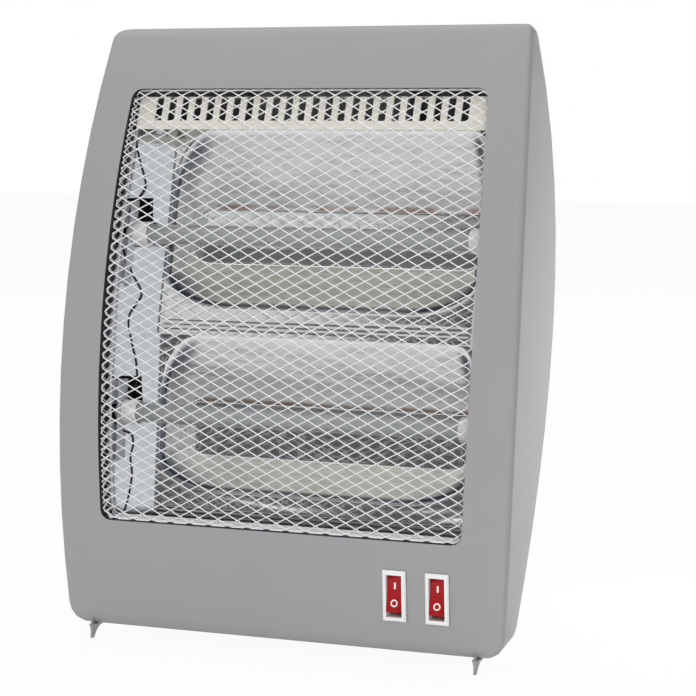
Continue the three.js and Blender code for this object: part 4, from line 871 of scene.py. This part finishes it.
class HEATER_OT_elements(bpy.types.Operator):
    """Quartz tubes with rounded ends, ceramic caps with chamfers, brackets and coils"""

    bl_idname = "heater.elements"
    bl_label = "Heating elements"

    def execute(self, context):
        colours = context.scene.heater_colours
        quartz = frosted_glass("frosted_quartz", colours.quartz)
        ceramic = fired_ceramic("white_ceramic", colours.ceramic)
        steel = powder_coat("bracket_finish", srgb(214, 218, 222), 0.3)
        copper = rolled_metal("coil_wire", srgb(190, 110, 70))
        for name in ("upper", "lower"):
            low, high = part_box("quartz_tube_" + name)
            tube = revolved(tube_profile(high.x, (high.z - low.z) / 2), (low + high) / 2, sides=64)
            tube_name, node = "frosted_tube_" + name, "quartz_tube_" + name
            new_piece(tube_name, tube, quartz, [node], angle=30)
            dress(copper, "heating_coil_" + name)
            for side, sign in (("left", -1), ("right", 1)):
                node = f"ceramic_cap_{name}_{side}"
                low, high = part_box(node)
                start, stop = sorted((sign * low.x, sign * high.x))
                centre = Vector((0, (low.y + high.y) / 2, (low.z + high.z) / 2))
                cap = revolved(cap_profile(start, stop, (high.z - low.z) / 2), centre, axis=(sign, 0, 0))
                cap_name = f"chamfered_cap_{name}_{side}"
                new_piece(cap_name, cap, ceramic, [node], angle=25)
                dress(steel, f"tube_bracket_{name}_{side}")
        return {"FINISHED"}


# ---- Body

# How far past the window's rim the collar may lie, and how far behind the face it starts
RIM_SLACK, COLLAR_START = 0.35 * MM, 0.6 * MM
# Shares of a foot's width, and of its depth at the floor, that are kept, and the height that it tapers over
FIN_WIDTH, FIN_TIP, FIN_TAPER = 0.6, 0.35, 8 * MM


def shade_collar(mesh, material):
    """Paints shade on the shield's faces inside the window, behind its front, with a second, dark material.
    """
    mesh.materials.append(material)
    middle = np.empty(len(mesh.polygons) * 3)
    mesh.polygons.foreach_get("center", middle)
    x, y, z = middle.reshape(-1, 3).T
    inside = np.abs(x) < window_half(z) + RIM_SLACK
    inside &= (z > WINDOW_BASE - RIM_SLACK) & (z < WINDOW_TOP + RIM_SLACK) & (y > face_y(z) + COLLAR_START)
    mesh.polygons.foreach_set("material_index", inside.astype(int))


def slim_fin(mesh):
    """Narrows a foot, and draws its rear edge forward the lower it is, down to a small tip on the floor."""
    places = np.empty(len(mesh.vertices) * 3)
    mesh.vertices.foreach_get("co", places)
    x, y, z = places.reshape(-1, 3).T
    middle, front = (x.min() + x.max()) / 2, y.min()
    narrowed = middle + (x - middle) * FIN_WIDTH
    drawn = front + (y - front) * (FIN_TIP + (1 - FIN_TIP) * np.clip(z / FIN_TAPER, 0, 1))
    mesh.vertices.foreach_set("co", np.stack([narrowed, drawn, z], -1).ravel())


class HEATER_OT_body(bpy.types.Operator):
    """Moulded shield, rear cover, vent strip and feet"""

    bl_idname = "heater.body"
    bl_label = "Body"

    def execute(self, context):
        colours = context.scene.heater_colours
        grey = moulded_plastic("shield_plastic", colours.shield)
        shield = smooth_copy("front_housing", "smooth_shield", grey, angle=24)
        # The collar's near-black plastic is painted shade behind the guard, not the shield's own grey
        shade_collar(shield, moulded_plastic("collar_shade", srgb(34, 34, 38), 0.6))
        smooth_copy("rear_cover", "smooth_cover", grey, angle=24)
        for node in ("foot_front_left", "foot_front_right", "foot_rear_left", "foot_rear_right"):
            slim_fin(smooth_copy(node, "smooth_" + node, grey, angle=30))
        dress(powder_coat("strip_paint", colours.strip, 0.45), "vent_strip")
        return {"FINISHED"}


# ---- Switches

ROCKER_REST = math.radians(-7)
# A rocker's face: how far before its pivot it lies, how much further out at its ends, and half its length
ROCKER_FACE, ROCKER_RISE, ROCKER_HALF = 7.1 * MM, 1.3 * MM, 10.7 * MM
MARK_FRONT, MARK_BACK = -0.08 * MM, 0.1 * MM  # distances into the face of a mark's front and back
BAR_HALF, BAR_LOW, BAR_HIGH = 0.55 * MM, 2.6 * MM, 6.4 * MM
RING_INNER, RING_OUTER, RING_UP = 1.35 * MM, 2.15 * MM, -5.6 * MM


def rocker_place(node, across, up, inward):
    """Places on a rocker's hollow face for distances across and up from its middle, and a distance into it.

    The face is the parabola depth = -(face + rise (up / half)²) before the pivot, turned as at rest.
    """
    joints = frame["record"]["behaviour"]["joints"]
    pivot = next(joint["pos_m"] for joint in joints if joint["child"] == node)
    depth = inward - (ROCKER_FACE + ROCKER_RISE * (up / ROCKER_HALF) ** 2)
    y = pivot[1] + depth * math.cos(ROCKER_REST) - up * math.sin(ROCKER_REST)
    z = pivot[2] + depth * math.sin(ROCKER_REST) + up * math.cos(ROCKER_REST)
    return np.stack([pivot[0] + across, y, z], -1)


def bar_mark(node):
    """Raised upright stroke on a rocker's upper half."""
    across, up = np.meshgrid(
        np.linspace(-BAR_HALF, BAR_HALF, 3), np.linspace(BAR_LOW, BAR_HIGH, 8), indexing="ij"
    )
    return slab_between(*(rocker_place(node, across, up, inward) for inward in (MARK_FRONT, MARK_BACK)))


def ring_mark(node):
    """Raised ring on a rocker's lower half: a square section carried round a circle."""
    angle = np.linspace(0, 2 * math.pi, 48, endpoint=False)
    rows = [
        rocker_place(node, radius * np.cos(angle), RING_UP + radius * np.sin(angle), inward)
        for inward, radii in ((MARK_FRONT, (RING_INNER, RING_OUTER)), (MARK_BACK, (RING_OUTER, RING_INNER)))
        for radius in radii
    ]
    return sheet_of(np.stack(rows), wrap_rows=True, wrap_columns=True)


class HEATER_OT_switches(bpy.types.Operator):
    """Snap-in switch bodies and their red rockers with raised marks"""

    bl_idname = "heater.switches"
    bl_label = "Switches"

    def execute(self, context):
        colours = context.scene.heater_colours
        white = moulded_plastic("bezel_plastic", colours.bezel, 0.28, spread=0.01)
        red = moulded_plastic("rocker_plastic", colours.rocker, 0.3, spread=0.05, clear=True)
        for side in ("left", "right"):
            dress(white, "switch_body_" + side)
            rocker = "rocker_" + side
            smooth_copy(rocker, "smooth_" + rocker, red, angle=32)
            for word, shape in (("bar", bar_mark), ("ring", ring_mark)):
                new_piece(f"{word}_mark_{side}", shape(rocker), white, body=rocker)
        return {"FINISHED"}


# ---- Inside

# Millimetres across, in depth and up: past the left ends of the tubes, before the reflectors' wings
FRONT_LEADS = {
    "front_lead_top": [
        (-118.4, -8.9, 244.9), (-121.2, -9.3, 246.5), (-121.4, -9.5, 252), (-116, -7.5, 263),
        (-110.4, -3.6, 273.2), (-111.4, -2.2, 280), (-113.8, -1.2, 286.3), (-118, 0.4, 300),
        (-119.4, 3, 309), (-119.8, 9, 314.5), (-119.6, 14.5, 312.5), (-119.4, 17.5, 305),
    ],
    "front_lead_middle": [
        (-118.4, -8.9, 244.9), (-121.4, -10.5, 242.5), (-120.4, -14.6, 236), (-113.6, -17.2, 222),
        (-106.8, -17.2, 209.6), (-109.4, -20.2, 202), (-112.6, -22.2, 196), (-113.2, -22.6, 189),
        (-111.4, -22.6, 179.3), (-108.3, -22.4, 165.1), (-108, -23.6, 153.4), (-112.4, -26.6, 147.6),
        (-118.2, -27.4, 145), (-121.4, -27, 140.4), (-118.4, -26.9, 136.1),
    ],
    "front_lead_low": [
        (-118.4, -26.9, 136.1), (-121.3, -28.6, 133.4), (-117, -30.4, 126.5), (-109.8, -27.6, 122),
        (-108.6, -27.4, 116), (-110, -28.4, 108), (-109, -28.8, 97), (-110.6, -30.4, 84),
        (-113, -33.4, 72), (-114, -32.2, 65.2), (-114.4, -26, 62.6), (-114.4, -18, 62),
    ],
}
LEAD_RADIUS = 0.6 * MM
LEAD_STEPS = 16  # points of the smooth path for each place of a lead


class HEATER_OT_inside(bpy.types.Operator):
    """Sheet metal, switchgear, screws and leads behind the reflectors, and thin leads before their wings"""

    bl_idname = "heater.inside"
    bl_label = "Inside"

    def execute(self, context):
        colours = context.scene.heater_colours
        steel = rolled_metal("plain_steel", srgb(178, 182, 186), 0.35, (12, 12, 1))
        zinc = rolled_metal("zinc_screw", srgb(190, 192, 196), 0.3)
        dark = moulded_plastic("dark_plastic", srgb(58, 59, 63), 0.5)
        sleeve = rubber_sleeve("lead_sleeve", srgb(30, 30, 33))
        dress(steel, "side_plate_left", "side_plate_right", "heat_shield", "thermal_cutout")
        dress(dark, "tip_switch_housing", "tip_plunger", "micro_switch", "cord_gland")
        dress(fired_ceramic("block_ceramic", colours.ceramic), "terminal_block")
        dress(rolled_metal("spring_steel", srgb(150, 152, 158), 0.25), "tip_spring")
        for node in frame["nodes"]:
            if node.startswith("screw_"):
                dress(zinc, node)
            if node.startswith("lead_"):
                smooth_copy(node, "smooth_" + node, sleeve, angle=70)
        for name, places in FRONT_LEADS.items():
            route = smooth_path(np.array(places) * MM, LEAD_STEPS * len(places))
            lead = tube_along(route, LEAD_RADIUS, sides=10)
            new_piece(name, lead, sleeve, angle=70)
        return {"FINISHED"}


# ---- Stage

WHITE = (1, 1, 1)
AIM = Vector((43.57 * MM, FACE_FRONT + 6 * MM, BODY_BASE + 175.97 * MM))  # in the picture's middle
# Half the floor's side, its paint, and how much of it the camera sees as plain white
FLOOR_REACH, FLOOR_PAINT, FLOOR_GLOW = 6, (0.9, 0.9, 0.9), 0.94
# Name, place, aimed point, size across and up, power in watts
LAMPS = (
    ("key_light", (-0.7, -2.1, 0.9), (0, 0, 0.2), (1.4, 1.4), 5),
    ("small_key", (-0.5, -1.7, 1.5), (0, 0, 0.2), (0.07, 0.07), 7),
    ("side_light", (0.5, -0.85, 0.15), (0.05, 0, 0.15), (0.3, 0.3), 1.5),
    ("rim_light", (0.27, 0.21, 0.22), (0.14, 0, 0.2), (0.08, 0.4), 0.7),
    ("back_light", (-0.4, 2.1, 1.3), (0, 0, 0.2), (1.4, 1.4), 12),
    ("top_light", (0.1, 0.3, 2.1), (0, 0, 0.1), (1.6, 1.6), 7),
)


def area_light(name, place, aim, size, power):
    """Soft rectangular light that mirrors and the camera don't show."""
    lamp = bpy.data.lights.new(name, "AREA")
    lamp.shape = "RECTANGLE"
    lamp.size, lamp.size_y = size
    lamp.energy = power
    lamp_object = new_object(name, lamp)
    lamp_object.location = place
    lamp_object.rotation_euler = (Vector(aim) - Vector(place)).to_track_quat("-Z", "Y").to_euler()
    lamp_object.visible_glossy = lamp_object.visible_camera = False


def pale_floor():
    """A flat floor of pale paint, white to mirrors, and white with a faint shadow to the camera."""
    reach = FLOOR_REACH
    mesh = bpy.data.meshes.new("floor")
    corners = [(-reach, -reach, 0), (reach, -reach, 0), (reach, reach, 0), (-reach, reach, 0)]
    mesh.from_pydata(corners, [], [(0, 1, 2, 3)])
    floor = new_object("floor", mesh)
    material = bpy.data.materials.new("floor_paint")
    material.use_nodes = True
    material.node_tree.nodes.clear()
    nodes = Nodes(material.node_tree)
    share = nodes.ray("Camera") * FLOOR_GLOW + nodes.ray("Glossy")
    paint = nodes.node("ShaderNodeBsdfDiffuse", None, {"Color": FLOOR_PAINT})
    glow = nodes.node("ShaderNodeEmission", None, {"Color": WHITE})
    nodes.show("ShaderNodeOutputMaterial", nodes.blend(share, paint, glow))
    mesh.materials.append(material)


def studio_light(world, look):
    """White to the camera, soft light to matt surfaces, and to mirrors a studio with a dark part in front.

    The ramps' limits are parts of a ray's direction: across to the right, ahead to the back, and up.
    Mirrors see a dark zone low in front, a dim one behind on the right, and a sky that brightens and warms
    upwards and cools to the right. The dark zone's left edge leans, a little left of where a flat sheet
    mirrors the camera's look. The soft light fades to the right.
    """
    world.use_nodes = True
    world.node_tree.nodes.clear()
    nodes = Nodes(world.node_tree)
    direction = nodes.node("ShaderNodeTexCoord", output="Generated")
    across, ahead, up = (nodes.node("ShaderNodeSeparateXYZ", None, {0: direction}, axis) for axis in "XYZ")

    def glow(colour, strength):
        return nodes.node("ShaderNodeBackground", None, {"Color": colour, "Strength": strength})

    low_front = ahead.ramp(-0.55, -0.8) * (up.ramp(-0.06, 0.02) * up.ramp(0.62, 0.5))
    slanted = up * -0.56 + across
    dark = low_front * (slanted.ramp(look.x - 0.225, look.x - 0.16) * across.ramp(0.2, 0.0))
    behind = across.ramp(0.0, 0.2) * ahead.ramp(0.2, 0.6)
    dimmed = dark.ramp(0.0, 1.0, 1.0, 0.12) * behind.ramp(0.0, 1.0, 1.0, 0.1)
    bright = dimmed * up.ramp(0.55, 0.75, 0.67, 1.8)
    warmth = nodes.node("ShaderNodeMapRange", None, {"Value": up, "From Min": 0.1, "From Max": 0.8})
    tint = nodes.mix(warmth, (0.93, 0.97, 1), (1, 0.98, 0.92))
    cooled = nodes.mix(across.ramp(0.0, 0.3), tint, (0.93, 1.0, 1.05))
    rightward = ahead * 0.6 + across
    soft = glow(WHITE, rightward.ramp(0.3, 1.0, 0.57, 0.12))
    unseen = nodes.blend(nodes.ray("Glossy"), soft, glow(cooled, bright))
    nodes.show("ShaderNodeOutputWorld", nodes.blend(nodes.ray("Camera"), unseen, glow(WHITE, 1.0)))


class HEATER_OT_stage(bpy.types.Operator):
    """Camera at the photograph's angle, floor, world and soft studio light"""

    bl_idname = "heater.stage"
    bl_label = "Stage"

    def execute(self, context):
        scene = context.scene
        sizes = scene.heater_stage
        turn, rise = sizes.camera_turn, sizes.camera_rise
        look = Vector((-math.sin(turn) * math.cos(rise), math.cos(turn) * math.cos(rise), -math.sin(rise)))
        camera = bpy.data.cameras.new("photo_camera")
        camera.sensor_width = 36
        camera.lens = sizes.lens
        camera.clip_start, camera.clip_end = 0.05, 30
        scene.camera = new_object("photo_camera", camera)
        scene.camera.location = AIM - look * sizes.camera_distance
        scene.camera.rotation_euler = look.to_track_quat("-Z", "Y").to_euler()

        pale_floor()
        for lamp in LAMPS:
            area_light(*lamp)
        scene.world = bpy.data.worlds.new("studio_world")
        studio_light(scene.world, look)
        scene.view_settings.view_transform = "Standard"
        return {"FINISHED"}


# ---- Add-on

OPERATORS = (
    HEATER_OT_stage, HEATER_OT_body, HEATER_OT_guard, HEATER_OT_reflectors, HEATER_OT_elements,
    HEATER_OT_switches, HEATER_OT_inside,
)
GROUPS = {"heater_colours": HeaterColours, "heater_guard": GuardSizes, "heater_stage": StageSizes}


class HEATER_PT_panel(bpy.types.Panel):
    """Lists the heater's sizes and the operators that build it"""

    bl_label = "Quartz heater"
    bl_idname = "HEATER_PT_panel"
    bl_space_type = "VIEW_3D"
    bl_region_type = "UI"
    bl_category = "Heater"

    def draw(self, context):
        for holder, group in GROUPS.items():
            for name in group.__annotations__:
                self.layout.prop(getattr(context.scene, holder), name)
        for operator in OPERATORS:
            self.layout.operator(operator.bl_idname)


CLASSES = (*GROUPS.values(), *OPERATORS, HEATER_PT_panel)


def register():
    for made in CLASSES:
        bpy.utils.register_class(made)
    for holder, group in GROUPS.items():
        setattr(bpy.types.Scene, holder, bpy.props.PointerProperty(type=group))


def unregister():
    for holder in GROUPS:
        delattr(bpy.types.Scene, holder)
    for made in reversed(CLASSES):
        bpy.utils.unregister_class(made)


def main():
    register()
    for operator in OPERATORS:
        group, name = operator.bl_idname.split(".")
        getattr(getattr(bpy.ops, group), name)()


if __name__ == "__main__":
    main()
